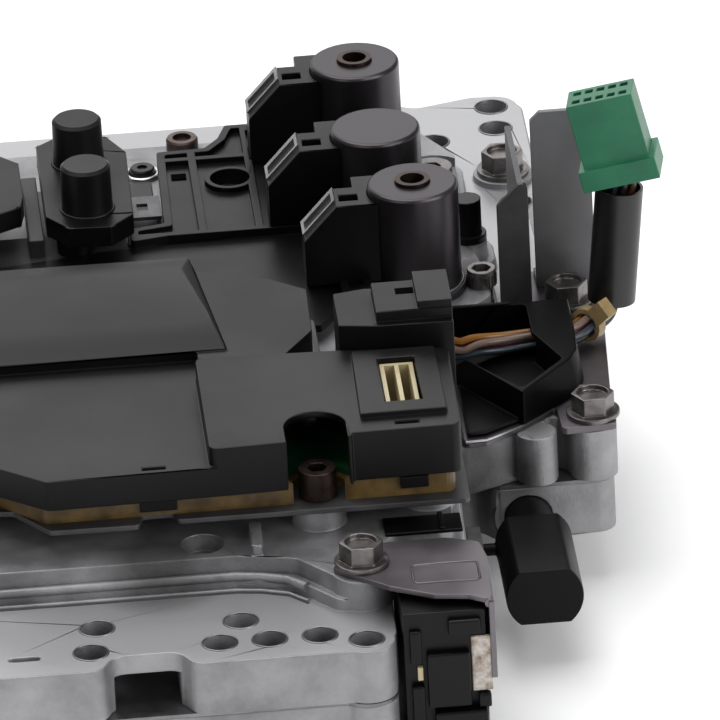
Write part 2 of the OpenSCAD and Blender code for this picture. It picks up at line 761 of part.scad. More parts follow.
module plunger_spring_far() {
    plunger_spring(2);
}

// Connector on the left of each can: a black tower with a stepped top and a sloping face
plate_drop = 2.5;
nose_front = -7.3;
nose_back = 4.5;
heel_back = 11;
heel_x = -16;
nose_x = -21;
slope_x = -30;
slope_drop = 9.7;
module connector(i) {
    p = at(solenoid_shares[i]);
    z = can_z + can_h - plate_drop;
    floor_z = frame_z + frame_t;
    black_color() translate([p[0], p[1], 0]) difference() {
        union() {
            translate([0, nose_back, 0]) rotate([90, 0, 0]) linear_extrude(nose_back - nose_front)
                polygon([[-can_r, floor_z], [-can_r, z], [nose_x, z], [slope_x, z - slope_drop],
                         [slope_x, floor_z]]);
            block([heel_x, nose_front, floor_z], [0, heel_back, z]);
        }
        translate([0, 0, floor_z - over]) cylinder(h = can_h, r = can_r + seat_gap / 3);
        block([nose_x + over, nose_front / 2, z - 3 * over], [heel_x + over, 0, z + over]);
    }
}
module connector_near() {
    connector(0);
}
module connector_mid() {
    connector(1);
}
module connector_far() {
    connector(2);
}
clip_t = 0.5;
clip_w = 8;
clip_l = 13;
module terminal_clips() {
    slope_a = atan2(slope_drop, nose_x - slope_x);
    color([0.75, 0.75, 0.75]) for (s = solenoid_shares)
        translate([at(s)[0] + nose_x, at(s)[1] + nose_back, can_z + can_h - plate_drop])
            rotate([0, -slope_a, 0]) difference() {
                translate([-clip_l, -clip_w, 0]) cube([clip_l, clip_w, clip_t]);
                translate([over - clip_l, over - clip_w, -over])
                    cube([clip_l - 2 * over, clip_w - 3 * over, clip_t + 2 * over]);
            }
}

// Manual valve
waist_r = 4;
land_l = 12;
module manual_valve() {
    color([0.1, 0.1, 0.11]) translate([manual_x, manual_face_y, manual_z]) {
        rotate([-90, 0, 0]) {
            translate([0, 0, -head_gap]) cylinder(h = head_gap + land_l, r = manual_r);
            for (k = [1 : 2]) {
                translate([0, 0, land_l + (k - 1) * (land_l + 2 * manual_r)])
                    cylinder(h = 2 * manual_r, r = waist_r);
                translate([0, 0, 2 * manual_r + land_l + (k - 1) * (land_l + 2 * manual_r)])
                    cylinder(h = land_l, r = manual_r);
            }
        }
        intersection() {
            translate([0, -head_gap, 0]) rotate([90, 0, 0]) cylinder(h = head_l, r = head_r);
            translate([-head_r - over, -head_gap - head_l - over, -flat_half])
                cube([2 * (head_r + over), head_l + 2 * over, 2 * flat_half]);
        }
        translate([-head_r - pin_reach, -head_gap - 2 * pin_r, 0]) rotate([0, 90, 0])
            cylinder(h = pin_reach + head_r, r = pin_r);
    }
}

// Range switch: a front block with a rail behind it, and the slider that the valve's pin drives
switch_side_shares = [-0.022, 0.215];
switch_end_shares = [-1.63, -1.29, -0.475];
switch_left = switch_side_shares[0] * pitch_x;
switch_right = switch_side_shares[1] * pitch_x;
switch_front = switch_end_shares[0] * pitch_y;
switch_block_back = switch_end_shares[1] * pitch_y;
switch_back = switch_end_shares[2] * pitch_y;
switch_drop = 1.5;
switch_top = deck_z - switch_drop;
switch_floor = 3;
rail_half = 7;
slider_l = 12;
slider_half = 4;
slider_depth = 8;
module switch_housing() {
    rail_top = separator_z - over;
    black_color() difference() {
        union() {
            block([switch_left, switch_front, switch_floor],
                  [switch_right - bracket_t - over, switch_block_back, switch_top]);
            block([switch_left, switch_block_back - over, manual_z - rail_half],
                  [switch_right, switch_back, min(manual_z + rail_half, rail_top)]);
        }
        block([switch_right - slider_depth - seat_gap,
               head_y - 2 * pin_r - slider_l / 2 - manual_out - over, manual_z - slider_half - seat_gap],
              [switch_right + over, head_y - 2 * pin_r + slider_l / 2 + manual_in + over,
               manual_z + slider_half + seat_gap]);
    }
}
module switch_slider() {
    y = head_y - 2 * pin_r;
    tip = manual_x - head_r - pin_reach;
    color([0.75, 0.72, 0.62]) difference() {
        block([switch_right - slider_depth, y - slider_l / 2, manual_z - slider_half],
              [tip + 2 * pin_r, y + slider_l / 2, manual_z + slider_half]);
        translate([tip - seat_gap, y, manual_z]) rotate([0, 90, 0])
            cylinder(h = pin_reach, r = pin_r + run_gap);
    }
}
bracket_shares = [
    [-0.18, -1.395], [-0.045, -1.52], [0.066, -1.585], [0.15, -1.60], [0.21, -1.64], [0.22, -1.40],
    [0.205, -1.305], [0.12, -1.27], [-0.03, -1.27], [-0.14, -1.30]
];
bracket_leg = 21;
module switch_bracket() {
    p = plan(bracket_shares);
    color([0.5, 0.5, 0.5]) difference() {
        union() {
            slab(p, deck_z, bracket_t, bracket_t);
            block([switch_right - bracket_t, p[4][1], deck_z - bracket_leg],
                  [switch_right, p[5][1], deck_z + bracket_t / 2]);
        }
        peg(bolt_bracket, deck_z - over, bracket_t + 2 * over, shank_r);
    }
}

// Spools with their springs, plugs and keys
spool_waist_r = 2.6;
spool_land = 9;
module spool(x) {
    steel_color() translate([x, rear_y - spool_bore_l + seat_gap, spool_z]) rotate([-90, 0, 0]) {
        cylinder(h = spool_l, r = spool_waist_r);
        for (k = [0 : 2]) translate([0, 0, k * (spool_l - spool_land) / 2])
            cylinder(h = spool_land, r = spool_r);
    }
}
module spool_left() {
    spool(spool_x_shares[0] * pitch_x);
}
module spool_mid() {
    spool(spool_x_shares[1] * pitch_x);
}
module spool_right() {
    spool(spool_x_shares[2] * pitch_x);
}
module spool_spring(x) {
    color([0.7, 0.7, 0.7]) translate([x, rear_y - plug_depth - bore_plug_l, spool_z])
        rotate([90, 0, 0]) spring(spool_r - 2 * spring_wire, spring_wire, spool_spring_l, spool_turns);
}
module spool_spring_left() {
    spool_spring(spool_x_shares[0] * pitch_x);
}
module spool_spring_mid() {
    spool_spring(spool_x_shares[1] * pitch_x);
}
module spool_spring_right() {
    spool_spring(spool_x_shares[2] * pitch_x);
}
module bore_plugs() {
    color([0.7, 0.7, 0.7]) for (s = spool_x_shares)
        translate([s * pitch_x, rear_y - plug_depth, spool_z]) rotate([90, 0, 0])
            cylinder(h = bore_plug_l, r = spool_r);
}
module plug_keys() {
    steel_color() for (s = spool_x_shares)
        block([s * pitch_x - key_w / 2 + run_gap, key_y + run_gap, spool_z],
              [s * pitch_x + key_w / 2 - run_gap, key_y + key_t - run_gap, separator_z]);
}

// Upright sheets at the rear of the support plate
shield_at = at([0.505, 0.34]);
shield_y = shield_at[1];
shield_left = shield_at[0];
shield_w = 16;
shield_chamfer = 2.5;
shield_foot = 8;
module shield_plate() {
    steel_color() {
        translate([shield_left, shield_y, support_top]) rotate([90, 0, 0])
            linear_extrude(shield_t)
                polygon([[0, 0], [shield_w, 0], [shield_w, shield_h], [shield_chamfer, shield_h],
                         [0, shield_h - shield_chamfer]]);
        block([shield_left, shield_y - shield_t, support_top],
              [shield_left + shield_w, shield_y + shield_foot, support_top + shield_t]);
    }
}
baffle_at = at([0.484, 0.235]);
baffle_x = baffle_at[0];
baffle_y = baffle_at[1];
baffle_w = 8.5;
baffle_run = 52;
module baffle() {
    color([0.4, 0.4, 0.41]) {
        translate([baffle_x - baffle_w, baffle_y, support_top]) rotate([90, 0, 0])
            linear_extrude(baffle_t)
                polygon(rounded([[0, 0], [baffle_w, 0], [baffle_w, baffle_h + deck_h],
                                 [0, baffle_h]], baffle_t));
        block([baffle_x - baffle_t, baffle_y - baffle_t, support_top + deck_step],
              [baffle_x, baffle_y + baffle_run, flange_z + baffle_h]);
    }
}

// Wire guide: a black trough with a V front and flared sides, roofed where it ends at the tie
guide_wall = 1.6;
guide_z = support_top;
guide_h = 10;
guide_foot_shares = [
    [0.235, -0.24], [0.394, -0.50], [0.554, -0.337], [0.575, -0.26], [0.575, -0.12], [0.575, 0.06],
    [0.50, 0.06], [0.30, 0.02], [0.24, 0.02]
];
guide_rim_shares = [
    [0.24, -0.235], [0.395, -0.495], [0.535, -0.32], [0.56, -0.26], [0.565, -0.12], [0.565, 0.05],
    [0.50, 0.05], [0.30, 0.01], [0.24, 0.01]
];
apron_shares = [[0.24, -0.545], [0.29, -0.54], [0.384, -0.48], [0.41, -0.45], [0.26, -0.22], [0.24, -0.22]];
trough_shares = [[0.22, -0.21], [0.395, -0.468], [0.515, -0.31], [0.45, -0.14], [0.45, 0.03], [0.22, 0.03]];
guide_mouth_shares = [[0.22, -0.22], [0.27, -0.22], [0.27, 0.03], [0.22, 0.03]];
tunnel_shares = [[0.43, -0.16], [0.62, -0.16], [0.62, 0.03], [0.43, 0.03]];
module wire_guide() {
    black_color() difference() {
        union() {
            hull() {
                sheet(plan(guide_foot_shares), guide_z, guide_wall);
                sheet(plan(guide_rim_shares), guide_z, guide_h);
            }
            sheet(plan(apron_shares), guide_z, guide_wall);
        }
        slab(plan(trough_shares), guide_z + guide_wall, guide_h, guide_wall);
        sheet(plan(tunnel_shares), guide_z + guide_wall, guide_h - 2 * guide_wall);
        sheet(plan(guide_mouth_shares), guide_z + guide_wall, guide_h);
    }
}
// Places on the harness, in shares of the two pitches and of its own rise above the flange
harness_rise = 100;
function harness_at(s) = [s[0] * pitch_x, s[1] * pitch_y, flange_z + s[2] * harness_rise];
bundle_r = 2.15;
tie_w = 3;
tie_t = 1.2;
tie_head = 5;
tie_turn = 45;
tie_from = harness_at([0.602, -0.041, 0.071]);
tie_to = harness_at([0.6215, -0.0182, 0.0705]);
module cable_tie() {
    r = bundle_r + wire_r + seat_gap;
    color([0.75, 0.7, 0.5]) along(tie_from, tie_to) {
        difference() {
            cylinder(h = tie_w, r = r + tie_t);
            translate([0, 0, -over]) cylinder(h = tie_w + 2 * over, r = r);
        }
        rotate([0, 0, tie_turn]) translate([-r - tie_head - tie_t / 2, -tie_head / 2, -over / 2])
            cube([tie_head, tie_head, tie_w + over]);
    }
}
sleeve_lo = harness_at([0.683, 0.05, 0.102]);
sleeve_hi = harness_at([0.716, 0.05, 0.43]);
// Turns a piece that stands on Z onto the line from a to b
module along(a, b) {
    d = b - a;
    translate(a) rotate([0, acos(d[2] / norm(d)), atan2(d[1], d[0])]) children();
}
module sleeve() {
    color([0.08, 0.08, 0.08]) along(sleeve_lo, sleeve_hi) difference() {
        cylinder(h = norm(sleeve_hi - sleeve_lo), r = sleeve_r);
        translate([0, 0, -over]) cylinder(h = norm(sleeve_hi - sleeve_lo) + 2 * over, r = sleeve_r - sleeve_wall);
    }
}
plug_foot = harness_at([0.73, 0.05, 0.46]);
plug_tilt = 13;
plug_yaw = -10;
cell_pitch = 3.2;
cell_w = 2;
cell_depth = 12;
skirt_flare = 1.5;
module green_connector() {
    color([0.15, 0.42, 0.3]) translate(plug_foot) rotate([0, -plug_tilt, plug_yaw]) difference() {
        union() {
            translate([-plug_w / 2, -plug_d / 2, 0]) cube([plug_w, plug_d, plug_h]);
            translate([-plug_w / 2 - skirt_flare, -plug_d / 2 - skirt_flare, 0])
                cube([plug_w + 2 * skirt_flare, plug_d + 2 * skirt_flare, plug_h / 4]);
        }
        for (i = [-2 : 2], j = [-1, 1])
            translate([i * cell_pitch - cell_w / 2, j * plug_d / 4 - cell_w / 2, plug_h - cell_depth])
                cube([cell_w, cell_w, cell_depth + over]);
    }
}

// One wire swept along its points, as rings of eight, at its own place in the bundle
wire_sides = 8;
function heading(p, i) = unit(p[min(i + 1, len(p) - 1)] - p[max(i - 1, 0)]);
function ring_of(p, t, place, r) =
    let (side = unit(cross(t, [0, 1, 0])), up = cross(side, t), c = p + place[0] * side + place[1] * up)
    [for (k = [0 : wire_sides - 1]) let (a = 360 * k / wire_sides) c + r * (cos(a) * side + sin(a) * up)];
module tube(p, place, r) {
    n = len(p);
    pts = [for (i = [0 : n - 1]) each ring_of(p[i], heading(p, i), place, r)];
    sides = [for (i = [0 : n - 2], k = [0 : wire_sides - 1])
        let (a = i * wire_sides + k, b = i * wire_sides + (k + 1) % wire_sides)
        each [[a, b, b + wire_sides], [a, b + wire_sides, a + wire_sides]]];
    polyhedron(pts, concat(sides,
        [[for (k = [wire_sides - 1 : -1 : 0]) k]],
        [[for (k = [0 : wire_sides - 1]) (n - 1) * wire_sides + k]]));
}
wire_shares = [
    [0.15, -0.425, 0.23], [0.18, -0.37, 0.21], [0.215, -0.29, 0.165], [0.25, -0.20, 0.11], [0.30, -0.13, 0.08],
    [0.37, -0.10, 0.065], [0.45, -0.09, 0.065], [0.53, -0.088, 0.066], [0.57, -0.075, 0.069],
    [0.602, -0.041, 0.071], [0.6215, -0.0182, 0.0705], [0.644, 0.0082, 0.069], [0.6625, 0.03, 0.0755],
    [0.675, 0.044, 0.095], [0.683, 0.0495, 0.12], [0.6875, 0.05, 0.15], [0.693, 0.05, 0.20], [0.699, 0.05, 0.26],
    [0.705, 0.05, 0.32], [0.711, 0.05, 0.375], [0.719, 0.05, 0.405], [0.729, 0.05, 0.426], [0.7335, 0.05, 0.442],
    [0.7308, 0.05, 0.454]
];
module harness_wires() {
    places = concat([[0, 0]], [for (k = [0 : 3]) bundle_r * [cos(90 * k), sin(90 * k)]]);
    color([0.7, 0.45, 0.1]) for (q = places)
        tube([for (w = wire_shares) harness_at(w)], q, wire_r);
}

// Fasteners
socket_r = 2.6;
socket_head_r = 3.9;
socket_head_h = 5;
torx_head_r = 5.6;
torx_head_h = 4;
module_head_r = 5;
module_head_h = 8;
standoff_h = 12;
standoff_r = 3.8;
standoff_foot_h = 2;
standoff_foot_r = 5;
module hex_bolt(p, z, grip) {
    translate([p[0], p[1], z]) {
        cylinder(h = flange_t, r = flange_r);
        difference() {
            cylinder(h = hex_h, r = hex_af / sqrt(3), $fn = 6);
            translate([0, 0, hex_h - flange_t]) cylinder(h = flange_t + over, r = hex_af / 2 - over);
        }
        translate([0, 0, -grip]) cylinder(h = grip + over, r = shank_r - run_gap);
    }
}
module round_screw(p, z, r, h, grip) {
    translate([p[0], p[1], z]) {
        difference() {
            cylinder(h = h, r = r);
            translate([0, 0, h / 2]) cylinder(h = h, r = socket_r, $fn = 6);
        }
        translate([0, 0, -grip]) cylinder(h = grip + over, r = shank_r - run_gap);
    }
}
module flange_bolts() {
    color([0.55, 0.52, 0.5]) {
        hex_bolt(bolt_rear, flange_z + support_t, deck_h);
        hex_bolt(bolt_side, support_top, deck_h);
        hex_bolt(bolt_corner, support_top, deck_h);
        hex_bolt(bolt_bracket, deck_z + bracket_t, deck_h);
        round_screw(bolt_socket, deck_z, socket_head_r, socket_head_h, deck_h);
        round_screw(bolt_deck, deck_z - torx_pocket_depth, torx_head_r, torx_head_h, deck_h - torx_pocket_depth);
    }
}
module module_screws() {
    color([0.5, 0.35, 0.28]) for (s = module_screw_shares)
        round_screw(at(s), base_z, module_head_r, module_head_h, boss_h + heat_t);
}
module standoff() {
    steel_color() translate([standoff_at[0], standoff_at[1], deck_z]) {
        cylinder(h = standoff_h, r = standoff_r);
        cylinder(h = standoff_foot_h, r = standoff_foot_r);
        translate([0, 0, -deck_h]) cylinder(h = deck_h + over, r = shank_r - run_gap);
    }
}

upper_body();
separator_plate();
lower_body();
lower_plate();
bottom_cover();
support_plate();
heat_plate();
module_base();
module_cover();
circuit_board();
terminal_block();
harness_box();
lead_frame();
grounding_tab();
cap_housing_near();
cap_housing_far();
round_caps();
can_near();
can_mid();
can_far();
solenoid_bushes();
solenoid_coils();
pole_cores();
connector_near();
connector_mid();
connector_far();
terminal_clips();
plunger_near();
plunger_mid();
plunger_far();
plunger_spring_near();
plunger_spring_mid();
plunger_spring_far();
manual_valve();
switch_slider();
switch_housing();
switch_bracket();
spool_left();
spool_mid();
spool_right();
spool_spring_left();
spool_spring_mid();
spool_spring_right();
bore_plugs();
plug_keys();
shield_plate();
baffle();
wire_guide();
cable_tie();
sleeve();
green_connector();
harness_wires();
flange_bolts();
module_screws();
standoff();
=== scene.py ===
# %% [markdown]
# This file dresses a transmission valve body: two cast aluminium layers that steer the oil of
# an automatic gearbox, with a black control module, three solenoids and a short harness on top.
# The solids come from the part's own source. Here they get their finishes, the fine pieces that
# a solid model leaves plain, a camera at the height of the workbench and soft light.
# %% Load the solids
import json
import math
import bmesh
import bpy
from mathutils import Matrix, Vector


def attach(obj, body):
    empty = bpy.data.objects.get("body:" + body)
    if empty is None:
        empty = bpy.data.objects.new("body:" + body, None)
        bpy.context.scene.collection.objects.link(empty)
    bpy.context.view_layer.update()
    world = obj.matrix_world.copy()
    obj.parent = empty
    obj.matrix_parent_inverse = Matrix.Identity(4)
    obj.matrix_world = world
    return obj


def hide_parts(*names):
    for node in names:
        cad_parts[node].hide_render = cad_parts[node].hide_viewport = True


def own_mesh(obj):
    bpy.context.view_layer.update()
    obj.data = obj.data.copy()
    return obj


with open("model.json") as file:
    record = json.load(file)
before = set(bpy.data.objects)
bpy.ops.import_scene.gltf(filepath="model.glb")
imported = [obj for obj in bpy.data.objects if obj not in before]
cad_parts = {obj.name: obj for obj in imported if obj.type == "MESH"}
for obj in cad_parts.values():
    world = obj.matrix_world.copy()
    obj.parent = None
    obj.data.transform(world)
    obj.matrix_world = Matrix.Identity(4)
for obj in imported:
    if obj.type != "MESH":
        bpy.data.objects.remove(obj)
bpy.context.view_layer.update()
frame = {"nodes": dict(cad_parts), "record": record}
MM = 0.001
# The milled flange's height above the rest face, in mm
FLANGE = 45
nodes = frame["nodes"]
body_of_node = {n: b for b, members in frame["record"]["behaviour"]["bodies"].items() for n in members}
slot_of_node = {p["node"]: p["material_slot"] for p in frame["record"]["subparts"]}

# %% [markdown]
# The picture was taken from the front at a low angle with a long lens, so that parallel edges
# stay parallel. A camera could be placed by eye, but here its three angles are given as numbers
# and its axes are built from them, so the view can be set to a tenth of a degree.
# %% Camera
TURN, TILT, ROLL = (math.radians(a) for a in (3.4, 26.2, 2.9))
LENS_MM, CAMERA_AWAY = 650, 3.4667
AIM = Vector((0, 0, FLANGE * MM))
level_right = Vector((math.cos(TURN), -math.sin(TURN), 0))
look = Vector((math.sin(TURN) * math.cos(TILT), math.cos(TURN) * math.cos(TILT), -math.sin(TILT)))
level_up = level_right.cross(look)
right = math.cos(ROLL) * level_right - math.sin(ROLL) * level_up
up = math.sin(ROLL) * level_right + math.cos(ROLL) * level_up
camera = bpy.data.objects.new("bench_camera", bpy.data.cameras.new("bench_camera"))
bpy.context.scene.collection.objects.link(camera)
camera.data.lens, camera.data.clip_end = LENS_MM, 20
camera.matrix_world = Matrix.Translation(AIM - CAMERA_AWAY * look) @ Matrix(
    [[right[i], up[i], -look[i]] for i in range(3)]).to_4x4()
bpy.context.scene.camera = camera
print("camera", round(CAMERA_AWAY, 3), "m away, lens", LENS_MM, "mm")

# %% [markdown]
# Later cells build small meshes, so three helpers come first. One links a new mesh as an object
# that rides on the castings, as all the small pieces do. One turns a colour as a screen shows it
# into the linear numbers that a shader adds up. One places a shader node and fills its sockets in
# a single call.
# %% Helpers
def new_piece(name, mesh):
    piece = bpy.data.objects.new(name, mesh)
    bpy.context.scene.collection.objects.link(piece)
    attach(piece, "castings")
    return piece


def linear(hex_colour):
    parts = [int(hex_colour[i:i + 2], 16) / 255 for i in (1, 3, 5)]
    return [c / 12.92 if c <= 0.04045 else ((c + 0.055) / 1.055) ** 2.4 for c in parts] + [1]


def add_node(tree, kind, inputs=(), **settings):
    node = tree.nodes.new(kind)
    for key, value in settings.items():
        setattr(node, key, value)
    for key, value in dict(inputs).items():
        if isinstance(value, bpy.types.NodeSocket):
            tree.links.new(value, node.inputs[key])
        else:
            node.inputs[key].default_value = value
    return node


print("helpers ready; mid grey is", round(linear("#808080")[0], 3))

# %% [markdown]
# Nearly every surface here is one dull colour that is never quite even: oil, handling and the
# mould leave soft patches, and close up there is a grain. One function makes all of them. It
# mixes two tones with a wide noise, lets the same noise move the gloss, and presses a fine noise
# into the surface as a bump, with every size given in millimetres of the real part.
# %% Surfaces with patches and grain
def surface(name, dark, light, rough, metal=0.0, patch_mm=14, grain_mm=0.35, grain_depth_mm=0.01,
            shine=0.5):
    material = bpy.data.materials.new(name)
    material.use_nodes = True
    tree = material.node_tree
    shader = tree.nodes["Principled BSDF"]
    place = add_node(tree, "ShaderNodeTexCoord").outputs["Object"]
    patches = add_node(tree, "ShaderNodeTexNoise",
                       {"Vector": place, "Scale": 1000 / patch_mm, "Detail": 5, "Roughness": 0.6})
    tones = add_node(tree, "ShaderNodeMix", data_type="RGBA")
    tones.inputs[6].default_value, tones.inputs[7].default_value = linear(dark), linear(light)
    spread = add_node(tree, "ShaderNodeMapRange",
                      {"Value": patches.outputs["Fac"], "From Min": 0.35, "From Max": 0.65})
    tree.links.new(spread.outputs["Result"], tones.inputs["Factor"])
    gloss = add_node(tree, "ShaderNodeMapRange",
                     {"Value": patches.outputs["Fac"], "From Min": 0.3, "From Max": 0.7,
                      "To Min": rough[0], "To Max": rough[1]})
    grain = add_node(tree, "ShaderNodeTexNoise", {"Vector": place, "Scale": 1000 / grain_mm, "Detail": 3})
    bump = add_node(tree, "ShaderNodeBump",
                    {"Height": grain.outputs["Fac"], "Distance": grain_depth_mm * MM, "Strength": 1.0})
    tree.links.new(tones.outputs[2], shader.inputs["Base Color"])
    tree.links.new(gloss.outputs["Result"], shader.inputs["Roughness"])
    tree.links.new(bump.outputs["Normal"], shader.inputs["Normal"])
    shader.inputs["Metallic"].default_value = metal
    shader.inputs["Specular IOR Level"].default_value = shine
    return material


print("surface() ready")

# %% [markdown]
# Wires, beads and rings all are a round section carried along a line. A small node tree does
# that: it takes a chain of points, turns it into a curve, sweeps a circle along it and closes the
# ends. A tree suits this better than a hand-written mesh, because radius and material stay inputs
# that each call sets. The result is read back as plain mesh and the modifier is gone.
# %% Sweep tree
def new_tree(name, sockets):
    tree = bpy.data.node_groups.new(name, "GeometryNodeTree")
    for label, kind in [("Geometry", "NodeSocketGeometry")] + sockets:
        tree.interface.new_socket(label, in_out="INPUT", socket_type=kind)
    tree.interface.new_socket("Geometry", in_out="OUTPUT", socket_type="NodeSocketGeometry")
    return tree, tree.nodes.new("NodeGroupInput").outputs


def close_tree(tree, geometry, material):
    whole = add_node(tree, "GeometryNodeRealizeInstances", {"Geometry": geometry})
    painted = add_node(tree, "GeometryNodeSetMaterial",
                       {"Geometry": whole.outputs[0], "Material": material})
    add_node(tree, "NodeGroupOutput", {"Geometry": painted.outputs[0]})


def grown(tree, mesh, values):
    holder = bpy.data.objects.new("holder", mesh)
    bpy.context.scene.collection.objects.link(holder)
    modifier = holder.modifiers.new("grow", "NODES")
    modifier.node_group = tree
    names = {s.name: s.identifier for s in tree.interface.items_tree if s.in_out == "INPUT"}
    for label, value in values.items():
        modifier[names[label]] = value
    graph = bpy.context.evaluated_depsgraph_get()
    result = bpy.data.meshes.new_from_object(holder.evaluated_get(graph), preserve_all_data_layers=True,
                                             depsgraph=graph)
    bpy.data.objects.remove(holder)
    work = bmesh.new()
    work.from_mesh(result)
    bmesh.ops.recalc_face_normals(work, faces=work.faces)
    work.to_mesh(result)
    work.free()
    return result


sweep_tree, given = new_tree("sweep", [("Radius", "NodeSocketFloat"), ("Sides", "NodeSocketInt"),
                                       ("Material", "NodeSocketMaterial")])
line = add_node(sweep_tree, "GeometryNodeMeshToCurve", {"Mesh": given["Geometry"]})
section = add_node(sweep_tree, "GeometryNodeCurvePrimitiveCircle",
                   {"Radius": given["Radius"], "Resolution": given["Sides"]})
skin = add_node(sweep_tree, "GeometryNodeCurveToMesh",
                {"Curve": line.outputs[0], "Profile Curve": section.outputs[0], "Fill Caps": True})
soft = add_node(sweep_tree, "GeometryNodeSetShadeSmooth", {"Geometry": skin.outputs[0]})
close_tree(sweep_tree, soft.outputs[0], given["Material"])


def swept(name, chains, radius_mm, material, sides=12, closed=False):
    points, edges = [], []
    for chain in chains:
        first = len(points)
        points += [tuple(p) for p in chain]
        edges += [(i, i + 1) for i in range(first, len(points) - 1)]
        if closed:
            edges.append((len(points) - 1, first))
    mesh = bpy.data.meshes.new(name + "_line")
    mesh.from_pydata(points, edges, [])
    mesh = grown(sweep_tree, mesh, {"Radius": radius_mm * MM, "Sides": sides, "Material": material})
    return new_piece(name, mesh)


print("sweep tree with", len(sweep_tree.nodes), "nodes")

# %% [markdown]
# Six insulated wires leave the black box, lie in the guide, pass the tie and climb through the
# sleeve into the green plug. On the real harness they are laid with a slow twist, so that no wire
# stays on the outside of a bend. The route is the same chain of points as in the part's source.
# %% Wires
route = [Vector((x, y, FLANGE + z)) * MM for x, y, z in (
    (15, -42.5, 23), (18, -37, 21), (21.5, -29, 16.5), (25, -20, 11), (30, -13, 8), (37, -10, 6.5),
    (45, -9, 6.5), (53, -8.8, 6.6), (57, -7.5, 6.9), (60.2, -4.1, 7.1), (62.15, -1.82, 7.05),
    (64.4, 0.82, 6.9), (66.25, 3, 7.55), (67.5, 4.4, 9.5), (68.3, 4.95, 12), (68.75, 5, 15),
    (69.3, 5, 20), (69.9, 5, 26), (70.5, 5, 32), (71.1, 5, 37.5), (71.9, 5, 40.5), (72.9, 5, 42.6),
    (73.35, 5, 44.2), (73.08, 5, 45.4))]
WIRE_R, BUNDLE_R, TWIST = 0.98, 2.15, math.radians(150)


def smooth_chain(points, parts):
    chain = []
    for i in range(len(points) - 1):
        a, b, c, d = (points[max(0, min(j, len(points) - 1))] for j in (i - 1, i, i + 1, i + 2))
        for k in range(parts):
            t = k / parts
            chain.append(0.5 * (2 * b + (c - a) * t + (2 * a - 5 * b + 4 * c - d) * t * t
                                + (3 * b - a - 3 * c + d) * t ** 3))
    return chain + [points[-1]]


def strand(chain, radius, start):
    out = []
    for i, p in enumerate(chain):
        ahead = (chain[min(i + 1, len(chain) - 1)] - chain[max(i - 1, 0)]).normalized()
        side = ahead.cross(Vector((0, 1, 0))).normalized()
        angle = start + TWIST * i / len(chain)
        out.append(p + radius * (math.cos(angle) * side + math.sin(angle) * side.cross(ahead)))
    return out


# Insulation tones, darkened as painted shade from the guide; the last wire runs in the bundle's middle
wire_tones = [("yellow", "#6a4212", "#7a5218"), ("brown", "#341d12", "#43281a"),
              ("black", "#0b0b0c", "#101011"), ("grey_blue", "#1e262d", "#29323b"),
              ("pale_pink", "#56463f", "#66554d"), ("dark_red", "#451412", "#571c19")]
outer_wires = len(wire_tones) - 1
centre = smooth_chain(route, 3)
for k, (tone, dark, light) in enumerate(wire_tones):
    middle = k == outer_wires
    chain = centre if middle else strand(centre, BUNDLE_R * MM, 2 * math.pi * k / outer_wires)
    insulation = surface("wire_insulation_" + tone, dark, light, (0.3, 0.42))
    wire = swept("wire_" + tone, [chain], WIRE_R, insulation, sides=10)
    if k == 0:
        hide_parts("harness_wires")

# %% [markdown]
# The castings come out of a steel mould with a sandy grey skin. A cutter then planes the flange,
# which leaves bright arcs of fine lines. Both finishes could be two materials on split faces, but
# the cutter only reached faces that look straight up at one height, so one material that asks for
# the surface's own direction and height keeps the border exact. A few spots of painted shade darken
# the metal where it lies in shadow. Each spot fades out with the distance from its middle.
# %% Cast and milled aluminium
# Spots of painted shade at the module's corner, in front of the heat plate and beside the near
# solenoid, as x, y, z and reach in mm
SHADE_SPOTS = [(25, -56, 38, 17), (-62, -122, 53.5, 20), (33, 29, 46, 13)]


